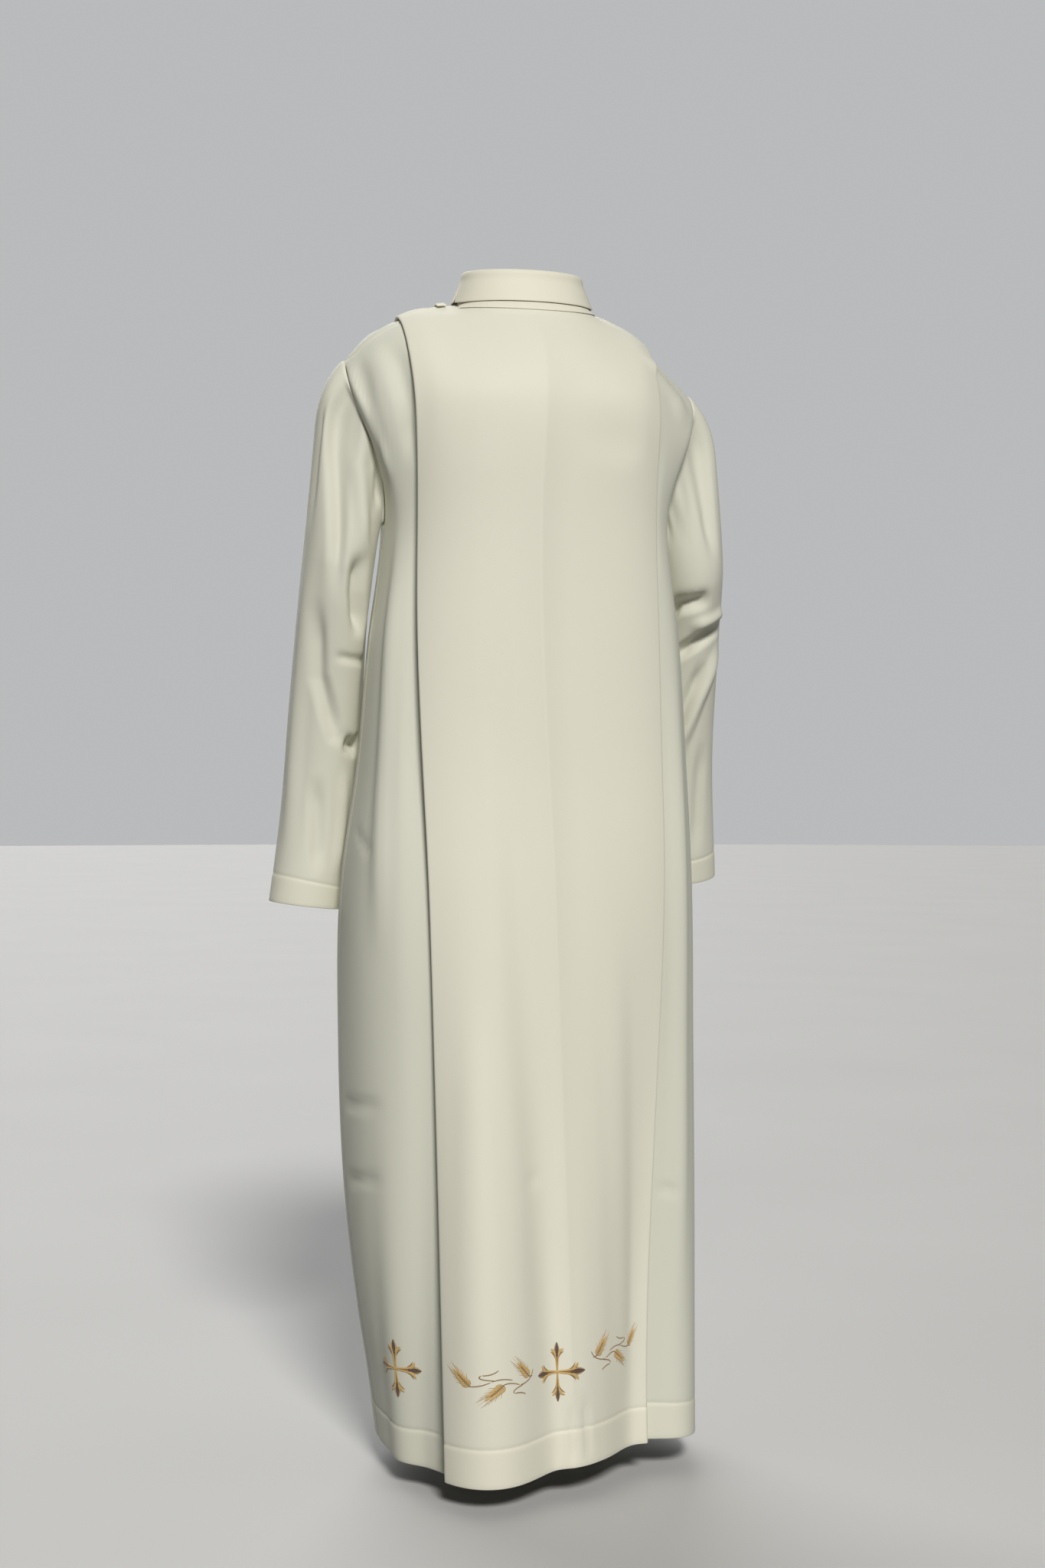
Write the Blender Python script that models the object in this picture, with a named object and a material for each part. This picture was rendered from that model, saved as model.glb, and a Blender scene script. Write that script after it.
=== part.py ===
"""An alb robe as it hangs on its wearer, empty: front, back, two sleeves, a turned-down collar and a small tab.

The robe faces -Y, its left side is +X, and the origin lies between the shoulders that hold it up.
Front and back are each one cloth. A wide centre panel ends in two knife pleats, each a panel over an
underlay over the side cloth. The cloth follows rings of the body, and is drawn to the shoulder line, the
neck and the armholes above them.
"""

from math import pi

import bpy
import numpy as np

# Driving sizes in metres. Heights are counted from 15 mm above the lowest point of the hem.
ORIGIN_HEIGHT = 1.42
WALL = 0.0012
TURNED_WALL = 0.0024
SEAM_GAP = 0.00055
SLEEVE_GAP = 0.0008
HEM_TURN = 0.046
CUFF_TURN = 0.036

NECK_HALF_WIDTH = 0.088
NECK_BACK = 0.066
NECK_FRONT = 0.070
NECK_BACK_DROP = 0.004
NECK_FRONT_DROP = 0.055
NECK_FRONT_POWER = 1.4
CREST_Y = -0.005

PANEL_HALF_WIDTH = 0.160
PANEL_NARROWING = 0.13
UNDERLAY_DEPTH = 0.055
TIP_REACH = 0.205
PLEAT_PITCH_TOP = 0.0033
PLEAT_PITCH_HEM = 0.0060
NARROWING_START = 0.1

# The cloth is pulled to the top line by an arch in depth and a cosine in width, counted down from the top.
ARCH_DEEPEST = 0.13
ARCH_SHALLOWEST = 0.03
ARCH_POWER_NECK = 1.25
ARCH_POWER_RISE = 0.35
ARCH_POWER_STATION = 0.8
WIDTH_PULL_POWER = 1.3
WIDTH_PULL_BELOW = 0.02

# Close to the crest of the shoulders the cloth's layers stack along the crest's own normal.
CREST_BLEND = 0.012
CREST_BLEND_STATIONS = 0.12
NORMAL_STEP_ACROSS = 0.004
NORMAL_STEP_DOWN = 0.0015

# The half widths to the wearer's left and right, and the depths behind and before the axis.
BODY_RINGS = np.array(
    # height, left, right, back, front
    [
        (-0.03, 0.190, 0.222, 0.182, 0.170),
        (0.07, 0.203, 0.222, 0.181, 0.168),
        (0.15, 0.216, 0.222, 0.180, 0.164),
        (0.30, 0.234, 0.222, 0.178, 0.158),
        (0.50, 0.243, 0.221, 0.174, 0.152),
        (0.72, 0.239, 0.219, 0.170, 0.146),
        (0.85, 0.220, 0.213, 0.163, 0.142),
        (1.02, 0.204, 0.203, 0.156, 0.140),
        (1.16, 0.187, 0.187, 0.151, 0.138),
        (1.30, 0.192, 0.189, 0.149, 0.134),
        (1.48, 0.194, 0.188, 0.124, 0.110),
    ]
)
RING_POWER_BACK = 2.6
RING_POWER_FRONT = 2.3
RING_HALF_SIZES = np.array((0.215, 0.180))

# The crest of the shoulders, by station: 1 is the shoulder tip.
SHOULDER_LINE = np.array(
    # station, left x, left height, right x, right height
    [
        (0.41, 0.088, 1.456, 0.088, 1.456),
        (0.60, 0.126, 1.450, 0.122, 1.443),
        (0.77, 0.161, 1.440, 0.154, 1.424),
        (0.90, 0.207, 1.416, 0.194, 1.388),
        (1.00, 0.2375, 1.382, 0.2275, 1.358),
    ]
)
NECK_STATION = SHOULDER_LINE[0, 0]
SEAM_BEHIND_CREST = np.array(
    # station, share of the way down the back
    [(0.41, 0.0), (0.50, 0.0016), (0.62, 0.0024), (0.78, 0.0038), (0.90, 0.0068), (0.96, 0.0045), (1.0, 0.0)]
)

# The armhole from the shoulder tip to the underarm, as a share of the way from the top line to the hem.
ARMHOLE = np.array(
    # way round from the tip to the underarm, share of the way down
    [(0.00, 0.0000), (0.25, 0.0330), (0.50, 0.0840), (0.75, 0.1300), (0.90, 0.1485), (1.00, 0.1525)]
)
ARMHOLE_STEPS = 10
UNDERARM_HEIGHT = 1.168
SIDE_REACH = 0.280

# How far the cloth slides round the body to the wearer's left, and how far it swells out at each place.
SLIDE = np.array(
    # height, slide
    [(-0.03, -0.014), (0.30, -0.004), (0.70, 0.008), (1.14, 0.019), (1.30, 0.014), (1.48, 0.004)]
)
SWELLS = (
    # face, reach to the left, half width, height where it ends, swell at the hem
    (1, 0.092, 0.088, 0.95, 0.050),
    (1, -0.120, 0.105, 0.80, -0.045),
    (1, 0.215, 0.040, 0.55, 0.008),
    (-1, 0.080, 0.080, 0.90, 0.020),
    (-1, -0.080, 0.080, 0.90, 0.022),
)

# Hem heights, by share of the way from the centre to the side seam.
HEM_LINE = np.array(
    # station, back left, back right, front left, front right
    [
        (0.0, -0.008, -0.008, 0.002, 0.002),
        (0.4, -0.015, -0.006, 0.000, -0.002),
        (0.8, -0.015, -0.004, -0.004, -0.004),
        (1.4, -0.012, -0.010, -0.006, -0.006),
        (2.0, -0.010, -0.012, -0.010, -0.012),
    ]
)

# The middle line of each arm, and the sleeve's half sizes across and along the body there.
ARM_LEFT = np.array(
    # x, y, height, half across, half along
    [
        (0.2260, 0.004, 1.285, 0.047, 0.066),
        (0.2410, -0.030, 1.118, 0.0460, 0.064),
        (0.2500, -0.072, 0.930, 0.0480, 0.055),
        (0.2590, -0.088, 0.800, 0.0470, 0.047),
        (0.2740, -0.092, 0.676, 0.0470, 0.040),
    ]
)
ARM_RIGHT = np.array(
    # x, y, height, half across, half along
    [
        (-0.2190, 0.004, 1.268, 0.046, 0.066),
        (-0.2380, -0.024, 1.140, 0.0455, 0.064),
        (-0.2480, -0.066, 1.040, 0.0450, 0.060),
        (-0.2540, -0.104, 0.880, 0.0450, 0.047),
        (-0.2700, -0.145, 0.706, 0.0480, 0.040),
    ]
)
ARM_STEP = 0.01
UNDERARM_START = 0.135
CAP_STANDOFF = 0.030
UNDERARM_LIFT = 0.0009
CAP_SHARE = 0.26
SLEEVE_CLEARANCE = 0.0045
CLEARANCE_SHARES = (0.012, 0.06)
CAP_SHORTENING = 0.6
CAP_STANDOFF_SHARE = 0.12
SEAM_STANDOFF = 0.003
SEAM_STANDOFF_SHARE = 0.012
UNDERARM_BLEND = (0.55, 0.9)
TIP_BLEND = 0.45
TIP_OUTWARD = (0.93, 0.0, -0.37)
LOOK_INWARD = 0.06
LOOK_DOWN = 0.006
SLEEVE_STEPS = 17
SLEEVE_FIRST = (0.0, 0.012)
SLEEVE_EVEN = (0.035, 0.93)
SLEEVE_LAST = (0.945, 1.0)

NECK_STEPS = 6
SIDE_STEPS = 10
SKIRT_STEPS = 11
TURN_STEP = 0.002
CREST_ROWS = np.array((0.0025, 0.0055))
FRONT_ROLL_END = 0.04
BESIDE_STEPS = np.array((0.26, 0.50, 0.72, 0.90))
UNDERLAY_STEPS = (0.35, 0.70)
FOLD_DEGREES = (90, 30, -30, -90)
SHOULDER_GAP_SHARE = 0.75

# Soft folds of each sleeve: where round it in degrees from its outer side, where along it, and how deep.
SLEEVE_FOLDS_LEFT = (
    # degrees to the back, half width, from share, to share, depth
    (62, 20, 0.04, 0.50, -0.006),
    (100, 22, 0.02, 0.40, 0.005),
    (135, 26, 0.30, 0.52, -0.008),
)
SLEEVE_FOLDS_RIGHT = (
    # degrees to the back, half width, from share, to share, depth
    (55, 20, 0.04, 0.45, -0.005),
    (70, 70, 0.36, 0.45, -0.010),
    (60, 70, 0.45, 0.55, 0.006),
    (60, 80, 0.55, 0.64, -0.009),
)

# The collar's section from its seam, up the stand, over the roll and down the fall.
COLLAR_SECTION = np.array(
    # outwards, upwards, share of the fall's own drop
    [
        (-0.0028, 0.0000, 0.0),
        (-0.0052, 0.0120, 0.0),
        (-0.0085, 0.0270, 0.0),
        (-0.0122, 0.0380, 0.0),
        (-0.0126, 0.0408, 0.0),
        (-0.0108, 0.0425, 0.0),
        (-0.0086, 0.0412, 0.0),
        (-0.0052, 0.0300, 0.1),
        (0.0010, 0.0150, 0.5),
        (0.0068, 0.0010, 1.0),
    ]
)
COLLAR_OPENING = 84.0
COLLAR_GAP = 0.5
COLLAR_GAP_FALL = 2.2
COLLAR_WALL = 0.0016
FALL_DROP = np.array(
    # degrees from the centre back, drop of the fall's edge
    [(0, -0.0020), (40, -0.0018), (70, -0.0010), (90, 0.0012), (110, 0.0005), (140, 0.0005), (180, 0.0000)]
)

TAB_STATIONS = (0.490, 0.545)
TAB_SHARES = (-0.0050, 0.0030)
TAB_WALL = 0.0016
TAB_LIFT = 0.0018

IVORY = (0.80, 0.78, 0.66, 1.0)
CLOTH_ROUGHNESS = 0.75

RING_LEVELS = np.linspace(-0.03, 1.48, 61)
RING_SAMPLES = 121


def smooth_table(where, stations, values):
    """A cubic curve through the rows of a table, held flat past both ends."""
    slopes = np.gradient(values, stations)
    row = np.clip(np.searchsorted(stations, where) - 1, 0, len(stations) - 2)
    width = stations[row + 1] - stations[row]
    t = np.clip((where - stations[row]) / width, 0.0, 1.0)
    start = (1 + 2 * t) * (1 - t) ** 2 * values[row] + t * (1 - t) ** 2 * width * slopes[row]
    end = t**2 * (3 - 2 * t) * values[row + 1] + t**2 * (t - 1) * width * slopes[row + 1]
    return start + end


def eased(low, high, where):
    """0 below low, 1 above high, and a smooth step between."""
    t = np.clip((where - low) / (high - low), 0.0, 1.0)
    return t * t * (3 - 2 * t)


def ring_tables():
    """For each face and side, the x, y and arc length of a quarter ring at every level."""
    angle = np.linspace(0, pi / 2, RING_SAMPLES)
    tables = {}
    for face, depth_column, power in ((1, 3, RING_POWER_BACK), (-1, 4, RING_POWER_FRONT)):
        depth = smooth_table(RING_LEVELS, BODY_RINGS[:, 0], BODY_RINGS[:, depth_column])
        for side, half_column in ((1, 1), (-1, 2)):
            half = smooth_table(RING_LEVELS, BODY_RINGS[:, 0], BODY_RINGS[:, half_column])
            x = half[:, None] * np.sin(angle) ** (2 / power)
            y = depth[:, None] * np.abs(np.cos(angle)) ** (2 / power)
            steps = np.hypot(np.diff(x), np.diff(y))
            arc = np.concatenate([np.zeros((len(RING_LEVELS), 1)), np.cumsum(steps, axis=1)], axis=1)
            tables[face, side] = (side * x, face * y, arc)
    return tables


RINGS = ring_tables()


def by_level(height):
    """The ring level below each height, and how far the height is on to the next."""
    place = (height - RING_LEVELS[0]) / (RING_LEVELS[1] - RING_LEVELS[0])
    place = np.clip(place, 0, len(RING_LEVELS) - 1)
    level = np.minimum(place.astype(int), len(RING_LEVELS) - 2)
    return level, place - level


def quarter_length(height, face, side):
    """The arc from the centre line to the side seam."""
    arc = RINGS[face, side][2][:, -1]
    level, on = by_level(height)
    return arc[level] * (1 - on) + arc[level + 1] * on


def ring_point(reach, height, face, side):
    """The point of the body ring at this height that lies this arc length from its centre line."""
    xs, ys, arcs = RINGS[face, side]
    level, on = by_level(height)
    point = np.zeros(reach.shape + (2,))
    for each in np.unique(level):
        here = level == each
        for offset, weight in ((0, 1 - on[here]), (1, on[here])):
            arc = arcs[each + offset]
            point[here, 0] += weight * np.interp(reach[here], arc, xs[each + offset])
            point[here, 1] += weight * np.interp(reach[here], arc, ys[each + offset])
    return point


def top_line(station, face):
    """Where each column of cloth starts: on the neck or the shoulder's crest, up to the shoulder tip."""
    side = np.where(station < 0, -1, 1)
    far = np.minimum(np.abs(station), 1)
    turn = pi / 2 * np.clip(far / NECK_STATION, 0, 1)
    neck_x = NECK_HALF_WIDTH * np.sin(turn)
    neck_y = CREST_Y + face * (NECK_BACK if face > 0 else NECK_FRONT) * np.cos(turn)
    drop = NECK_BACK_DROP * np.cos(turn) if face > 0 else NECK_FRONT_DROP * np.cos(turn) ** NECK_FRONT_POWER
    neck_z = SHOULDER_LINE[0, 2] - drop

    crest = [smooth_table(far, SHOULDER_LINE[:, 0], SHOULDER_LINE[:, c]) for c in (1, 2, 3, 4)]
    crest_x = np.where(side > 0, crest[0], crest[2])
    crest_z = np.where(side > 0, crest[1], crest[3])

    in_neck = far < NECK_STATION
    x = np.where(in_neck, neck_x, crest_x)
    y = np.where(in_neck, neck_y, CREST_Y)
    z = np.where(in_neck, neck_z, crest_z)
    return np.stack([side * x, y, z], axis=-1)


def hem_height(station, face):
    """The height of the hem below a station."""
    left, right = (1, 2) if face > 0 else (3, 4)
    far = np.abs(station)
    on_left = smooth_table(far, HEM_LINE[:, 0], HEM_LINE[:, left])
    on_right = smooth_table(far, HEM_LINE[:, 0], HEM_LINE[:, right])
    return np.where(station < 0, on_right, on_left)


def on_ring(station, height, face):
    """The body ring's point for a station, with the cloth's slide round the body."""
    side = np.where(station < 0, -1, 1)
    far = np.abs(station)
    quarter = np.where(side > 0, quarter_length(height, face, 1), quarter_length(height, face, -1))
    reach = np.where(far <= 1, far * TIP_REACH, TIP_REACH + (far - 1) * (quarter - TIP_REACH))
    slid = side * reach + smooth_table(height, SLIDE[:, 0], SLIDE[:, 1]) * (1 - (reach / quarter) ** 2)
    left = ring_point(np.abs(slid), height, face, 1)
    right = ring_point(np.abs(slid), height, face, -1)
    point = np.where((slid >= 0)[..., None], left, right)
    swell = np.zeros(reach.shape)
    for where_face, centre, half, ends, size in SWELLS:
        if where_face == face:
            bump = np.cos(np.clip((slid - centre) / half, -1, 1) * pi / 2) ** 2
            swell += size * bump * (1 - eased(0, ends, height))
    outward = np.sign(point) * np.abs(point / RING_HALF_SIZES) ** (RING_POWER_BACK - 1) / RING_HALF_SIZES
    outward /= np.maximum(np.linalg.norm(outward, axis=-1, keepdims=True), 1e-6)
    return point + outward * swell[..., None]


def face_surface(station, share, face):
    """The cloth's side layer at a station across and a share of the way from the top line to the hem."""
    top = top_line(station, face)
    height = top[..., 2] - share * (top[..., 2] - hem_height(station, face))
    down = top[..., 2] - height
    far = np.abs(station)
    above_underarm = top[..., 2] - UNDERARM_HEIGHT
    arch_depth = np.clip(above_underarm + ARCH_SHALLOWEST, ARCH_SHALLOWEST, ARCH_DEEPEST)
    arch_power = ARCH_POWER_NECK + ARCH_POWER_RISE * eased(NECK_STATION, ARCH_POWER_STATION, far)
    t = 1 - np.clip(down / arch_depth, 0, 1)
    arch = 1 - (1 - t**arch_power) ** (1 / arch_power)
    ease_depth = np.maximum(above_underarm + WIDTH_PULL_BELOW, ARCH_SHALLOWEST)
    ease = (0.5 * (1 + np.cos(pi * np.clip(down / ease_depth, 0, 1)))) ** WIDTH_PULL_POWER
    pull = top[..., :2] - on_ring(np.clip(station, -1, 1), top[..., 2], face)
    fade = 1 - np.clip(far - 1, 0, 1) ** 2
    flat = on_ring(station, height, face) + pull * np.stack([ease, arch], axis=-1) * fade[..., None]
    return np.concatenate([flat, height[..., None]], axis=-1)


def carrier(station, share, face):
    """The side layer, where a share below 0 runs over the crest on to the other face."""
    here = face_surface(station, np.abs(share), face)
    other = face_surface(station, np.abs(share), -face)
    return np.where((share < -1e-6)[..., None], other, here)


def cloth_point(station, share, lift, face):
    """The carrier moved out along its normal by lift."""
    right = carrier(station + NORMAL_STEP_ACROSS, share, face)
    across = right - carrier(station - NORMAL_STEP_ACROSS, share, face)
    low = np.minimum(share + NORMAL_STEP_DOWN, 1.0)
    high = share - NORMAL_STEP_DOWN * (share > NORMAL_STEP_DOWN)
    along = carrier(station, low, face) - carrier(station, high, face)
    normal = np.cross(across, along) * face
    normal /= np.maximum(np.linalg.norm(normal, axis=-1, keepdims=True), 1e-12)
    crest = np.stack([-across[..., 2], np.zeros(share.shape), across[..., 0]], axis=-1)
    crest /= np.maximum(np.linalg.norm(crest, axis=-1, keepdims=True), 1e-12)
    past_neck = eased(NECK_STATION, NECK_STATION + CREST_BLEND_STATIONS, np.abs(station))[..., None]
    crest = crest * past_neck + np.array((0.0, 0.0, 1.0)) * (1 - past_neck)
    past_crest = eased(0.0, CREST_BLEND, np.abs(share))[..., None]
    normal = crest * (1 - past_crest) + normal * past_crest
    return carrier(station, share, face) + normal * lift[..., None]


def pleat_pitch(share):
    """The distance from one layer of a pleat to the next."""
    return PLEAT_PITCH_TOP + (PLEAT_PITCH_HEM - PLEAT_PITCH_TOP) * eased(0.05, 1.0, share)


def half_columns():
    """The panel and its pleat, from the centre out: each column's station, turn round a fold, and layer."""
    fold = PANEL_HALF_WIDTH / TIP_REACH
    under = (PANEL_HALF_WIDTH - UNDERLAY_DEPTH) / TIP_REACH
    angles = np.radians(FOLD_DEGREES)
    neck = np.linspace(0, NECK_STATION, NECK_STEPS + 1)
    beside = NECK_STATION + (fold - NECK_STATION) * BESIDE_STEPS
    panel = [(g, 0.0, 2.0) for g in np.concatenate([neck, beside])]
    outer_turn = [(fold, np.cos(a), 1.5 + 0.5 * np.sin(a)) for a in angles]
    underlay = [(fold - (fold - under) * part, 0.0, 1.0) for part in UNDERLAY_STEPS]
    inner_turn = [(under, -np.cos(a), 0.5 + 0.5 * np.sin(a)) for a in angles]
    return np.array(panel + outer_turn + underlay + inner_turn)


def armhole_rows():
    """The rows that meet the armhole: their shares of the way down, and their ways round it."""
    way = np.linspace(0, 1, ARMHOLE_STEPS + 1)
    share = smooth_table(way, ARMHOLE[:, 0], ARMHOLE[:, 1])
    rows = np.concatenate([share[:1], CREST_ROWS, share[1:]])
    return rows, np.interp(rows, share, way)


def row_shares():
    """Every row's share of the way down and way round the armhole, with two rows at the turning."""
    armhole, way = armhole_rows()
    turning = 1 - HEM_TURN / SHOULDER_LINE[2, 2]
    skirt = np.linspace(armhole[-1], turning, SKIRT_STEPS + 1)[1:]
    shares = np.concatenate([armhole, skirt, [turning + TURN_STEP, 1.0]])
    return shares, np.concatenate([way, np.ones(SKIRT_STEPS + 2)])


def body_stations():
    """The station, turn and layer of every column at every row. The side columns spread out to the edge."""
    shares, way = row_shares()
    half = half_columns()
    under = PANEL_HALF_WIDTH - UNDERLAY_DEPTH
    edge = TIP_REACH + way * (SIDE_REACH - TIP_REACH)
    spread = np.linspace(0, 1, SIDE_STEPS + 1)[1:]
    reach = under + spread * (edge[:, None] - under)
    beyond = 1 + (reach - TIP_REACH) / (SIDE_REACH - TIP_REACH)
    side = np.where(reach <= TIP_REACH, reach / TIP_REACH, beyond)
    rows = np.ones((len(shares), 1))
    station = np.concatenate([half[:, 0] * rows, side], axis=1)
    turn = np.concatenate([half[:, 1] * rows, 0 * side], axis=1)
    layer = np.concatenate([half[:, 2] * rows, 0 * side], axis=1)
    station = np.concatenate([-station[:, :0:-1], station], axis=1)
    turn = np.concatenate([-turn[:, :0:-1], turn], axis=1)
    layer = np.concatenate([layer[:, :0:-1], layer], axis=1)
    return shares[:, None] * np.ones(station.shape), station, turn, layer


def body_cloth(face):
    """The middle surface of the front or back cloth as a grid of rows and columns, and its wall weights."""
    shares, station, turn, layer = body_stations()
    start = face * smooth_table(np.abs(station[0]), SEAM_BEHIND_CREST[:, 0], SEAM_BEHIND_CREST[:, 1])
    turned = np.where(shares > 1 - HEM_TURN / SHOULDER_LINE[2, 2] + TURN_STEP / 2, 1.0, WALL / TURNED_WALL)
    over = np.clip(-start / CREST_ROWS[0], 0, 1) * CREST_ROWS[0] * (shares > 0)
    over *= 1 - eased(CREST_ROWS[1], FRONT_ROLL_END, shares)
    moved = 1 - shares if face > 0 else 1 - eased(0, CREST_ROWS[0], shares)
    shares = shares + start * moved - over
    pitch = pleat_pitch(np.clip(shares, 0, 1))
    fold = PANEL_HALF_WIDTH / TIP_REACH
    past_fold = np.clip((np.abs(station) - fold) / (1 - fold), 0, 1)
    narrowed = station * (1 - PANEL_NARROWING * eased(NARROWING_START, 1.0, shares) * (1 - past_fold))
    stations = narrowed + turn * pitch / 2 / TIP_REACH
    return cloth_point(stations, shares, layer * pitch, face), turned


def open_seams(points):
    """Draws the side edges back by half a seam's gap, and the shoulder edge by a little more."""
    for edge, inner in ((0, 1), (-1, -2)):
        step = points[:, inner] - points[:, edge]
        points[:, edge] += SEAM_GAP / 2 * step / np.linalg.norm(step, axis=-1, keepdims=True)
    step = points[1] - points[0]
    points[0] += SEAM_GAP * SHOULDER_GAP_SHARE * step / np.linalg.norm(step, axis=-1, keepdims=True)
    return points


def armhole_loop(side):
    """Points once round the armhole from the shoulder tip by the back, and the seam's own outward way."""
    share, way = armhole_rows()
    halves = []
    for face in (1, -1):
        edge = cloth_point(side * (1 + way), share, np.zeros(len(way)), face)
        inner = cloth_point(side * (1 + way - LOOK_INWARD), share, np.zeros(len(way)), face)
        lower = cloth_point(side * (1 + way), share + LOOK_DOWN, np.zeros(len(way)), face)
        away = (edge - inner) * (1 - way[:, None]) + (edge - lower) * way[:, None]
        halves.append((edge, np.cross(inner - edge, lower - edge), away))
    loop, surface, away = (np.concatenate([back, front[-2:0:-1]]) for back, front in zip(*halves))
    tangent = np.roll(loop, -1, axis=0) - np.roll(loop, 1, axis=0)
    outward = np.cross(surface, tangent)
    outward[0] = away[0]
    outward *= np.sign(np.sum(outward * away, axis=1, keepdims=True))
    outward /= np.linalg.norm(outward, axis=1, keepdims=True)
    from_tip = eased(0.0, TIP_BLEND, np.concatenate([way, way[-2:0:-1]]))[:, None]
    outward = outward * from_tip + np.array(TIP_OUTWARD) * (side, 1, 1) * (1 - from_tip)
    return loop, outward


def body_half_width(point):
    """How far out the body ring lies beside each point."""
    side = np.where(point[..., 0] < 0, -1, 1)
    back = point[..., 1] > 0
    table = BODY_RINGS
    widths = [smooth_table(point[..., 2], table[:, 0], table[:, c]) for c in (1, 2, 3, 4)]
    half = np.where(side > 0, widths[0], widths[1])
    depth = np.where(back, widths[2], widths[3])
    power = np.where(back, RING_POWER_BACK, RING_POWER_FRONT)
    return half * (1 - np.clip(np.abs(point[..., 1]) / depth, 0, 1) ** power) ** (1 / power)


def arm_frame(path, length_share):
    """The arm's centre, its outward and backward directions, and its half sizes at shares of its length."""
    steps = np.linalg.norm(np.diff(path[:, :3], axis=0), axis=1)
    stations = np.concatenate([[0], np.cumsum(steps)]) / steps.sum()
    centre = np.stack([smooth_table(length_share, stations, path[:, c]) for c in range(3)], axis=-1)
    ahead, behind = length_share + ARM_STEP, length_share - ARM_STEP
    down = np.stack(
        [smooth_table(ahead, stations, path[:, c]) - smooth_table(behind, stations, path[:, c]) for c in range(3)],
        axis=-1,
    )
    down /= np.linalg.norm(down, axis=-1, keepdims=True)
    out = np.zeros_like(down)
    out[..., 0] = np.sign(path[0, 0])
    out -= down * np.sum(out * down, axis=-1, keepdims=True)
    out /= np.linalg.norm(out, axis=-1, keepdims=True)
    back = np.cross(down, out)
    back *= np.sign(back[..., 1:2])
    across = smooth_table(length_share, stations, path[:, 3])
    along = smooth_table(length_share, stations, path[:, 4])
    return centre, out, back, across, along


def sleeve_cloth(path, folds, side):
    """The middle surface of a sleeve: its cap leaves the armhole and blends into rings round the arm."""
    loop, outward = armhole_loop(side)
    way = armhole_rows()[1]
    turn = pi * np.concatenate([way, 2 - way[-2:0:-1]])
    steps = np.concatenate([SLEEVE_FIRST, np.linspace(*SLEEVE_EVEN, SLEEVE_STEPS - 4), SLEEVE_LAST])
    share = steps[:, None] * np.ones(len(turn))
    inner = (1 - np.cos(turn)) / 2
    length = np.linalg.norm(np.diff(path[:, :3], axis=0), axis=1).sum()
    start = UNDERARM_START / length * inner
    along_arm = start + (1 - start) * share
    centre, out, back, half_across, half_along = arm_frame(path, along_arm)
    push = np.zeros(share.shape)
    for degrees, half_width, begins, ends, depth in folds:
        away = (np.degrees(turn) - degrees + 180) % 360 - 180
        round_it = np.cos(np.clip(away / half_width, -1, 1) * pi / 2) ** 2
        middle, reach = (begins + ends) / 2, (ends - begins) / 2
        push += depth * round_it * np.cos(np.clip((share - middle) / reach, -1, 1) * pi / 2) ** 2
    ring = centre + out * ((half_across + push) * np.cos(turn))[..., None]
    ring += back * ((half_along + push) * np.sin(turn))[..., None]
    blend = eased(0.0, 1.0, share / (CAP_SHARE * (1 - CAP_SHORTENING * inner)))[..., None]
    under = eased(*UNDERARM_BLEND, inner)
    seam = loop + outward * (SLEEVE_GAP + UNDERARM_LIFT * under)[:, None]
    leave = outward * (1 - under)[:, None] + np.array((side, 0.0, 0.0)) * under[:, None]
    standoff = SEAM_STANDOFF * eased(0, SEAM_STANDOFF_SHARE, share)
    standoff += CAP_STANDOFF * eased(0, CAP_STANDOFF_SHARE, share) * (1 - inner)
    cap = seam + leave * standoff[..., None]
    points = cap * (1 - blend) + ring * blend
    clear = body_half_width(points) + SLEEVE_CLEARANCE * eased(*CLEARANCE_SHARES, share)
    low = (points[..., 2] < UNDERARM_HEIGHT) & (share > 0)
    points[..., 0] = side * np.where(low, np.maximum(side * points[..., 0], clear), side * points[..., 0])
    cuff = 1 - CUFF_TURN / length
    turned = np.where(steps > cuff, 1.0, WALL / TURNED_WALL)
    return points, turned[:, None] * np.ones(len(turn))


def collar_cloth():
    """The folded band of the collar, from one end round the neck to the other."""
    lean = COLLAR_SECTION[:, 2:3]
    gap = COLLAR_GAP + COLLAR_GAP_FALL * lean**2
    step = 90 / NECK_STEPS
    between = np.arange(np.ceil(COLLAR_OPENING / step) - 1, (COLLAR_OPENING - 360) / step, -1) * step
    ends = (COLLAR_OPENING - gap, COLLAR_OPENING - 360 + gap)
    degrees = np.concatenate([ends[0], between * np.ones_like(gap), ends[1]], axis=1)
    angle = np.radians(degrees)
    depth = np.where(np.cos(angle) >= 0, NECK_BACK, NECK_FRONT)
    drop = np.where(
        np.cos(angle) >= 0,
        NECK_BACK_DROP * np.abs(np.cos(angle)),
        NECK_FRONT_DROP * np.abs(np.cos(angle)) ** NECK_FRONT_POWER,
    )
    out = np.stack([np.sin(angle) / NECK_HALF_WIDTH, np.cos(angle) / depth], axis=-1)
    out /= np.linalg.norm(out, axis=-1, keepdims=True)
    from_back = np.degrees(np.arccos(np.cos(angle)))
    fall = lean * smooth_table(from_back, FALL_DROP[:, 0], FALL_DROP[:, 1])
    x = NECK_HALF_WIDTH * np.sin(angle) + out[..., 0] * COLLAR_SECTION[:, 0:1]
    y = CREST_Y + depth * np.cos(angle) + out[..., 1] * COLLAR_SECTION[:, 0:1]
    seam_height = SHOULDER_LINE[0, 2] + 2 * PLEAT_PITCH_TOP - drop
    return np.stack([x, y, seam_height + COLLAR_SECTION[:, 1:2] + fall], axis=-1)


def tab_cloth():
    """A small tab that lies on the shoulder just outside the collar's left end."""
    stations, shares = np.meshgrid(np.linspace(*TAB_STATIONS, 4), np.linspace(*TAB_SHARES, 4))
    lift = 2 * pleat_pitch(np.abs(shares)) + WALL / 2 + TAB_LIFT + TAB_WALL / 2
    return cloth_point(stations, shares, lift, 1)


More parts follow.
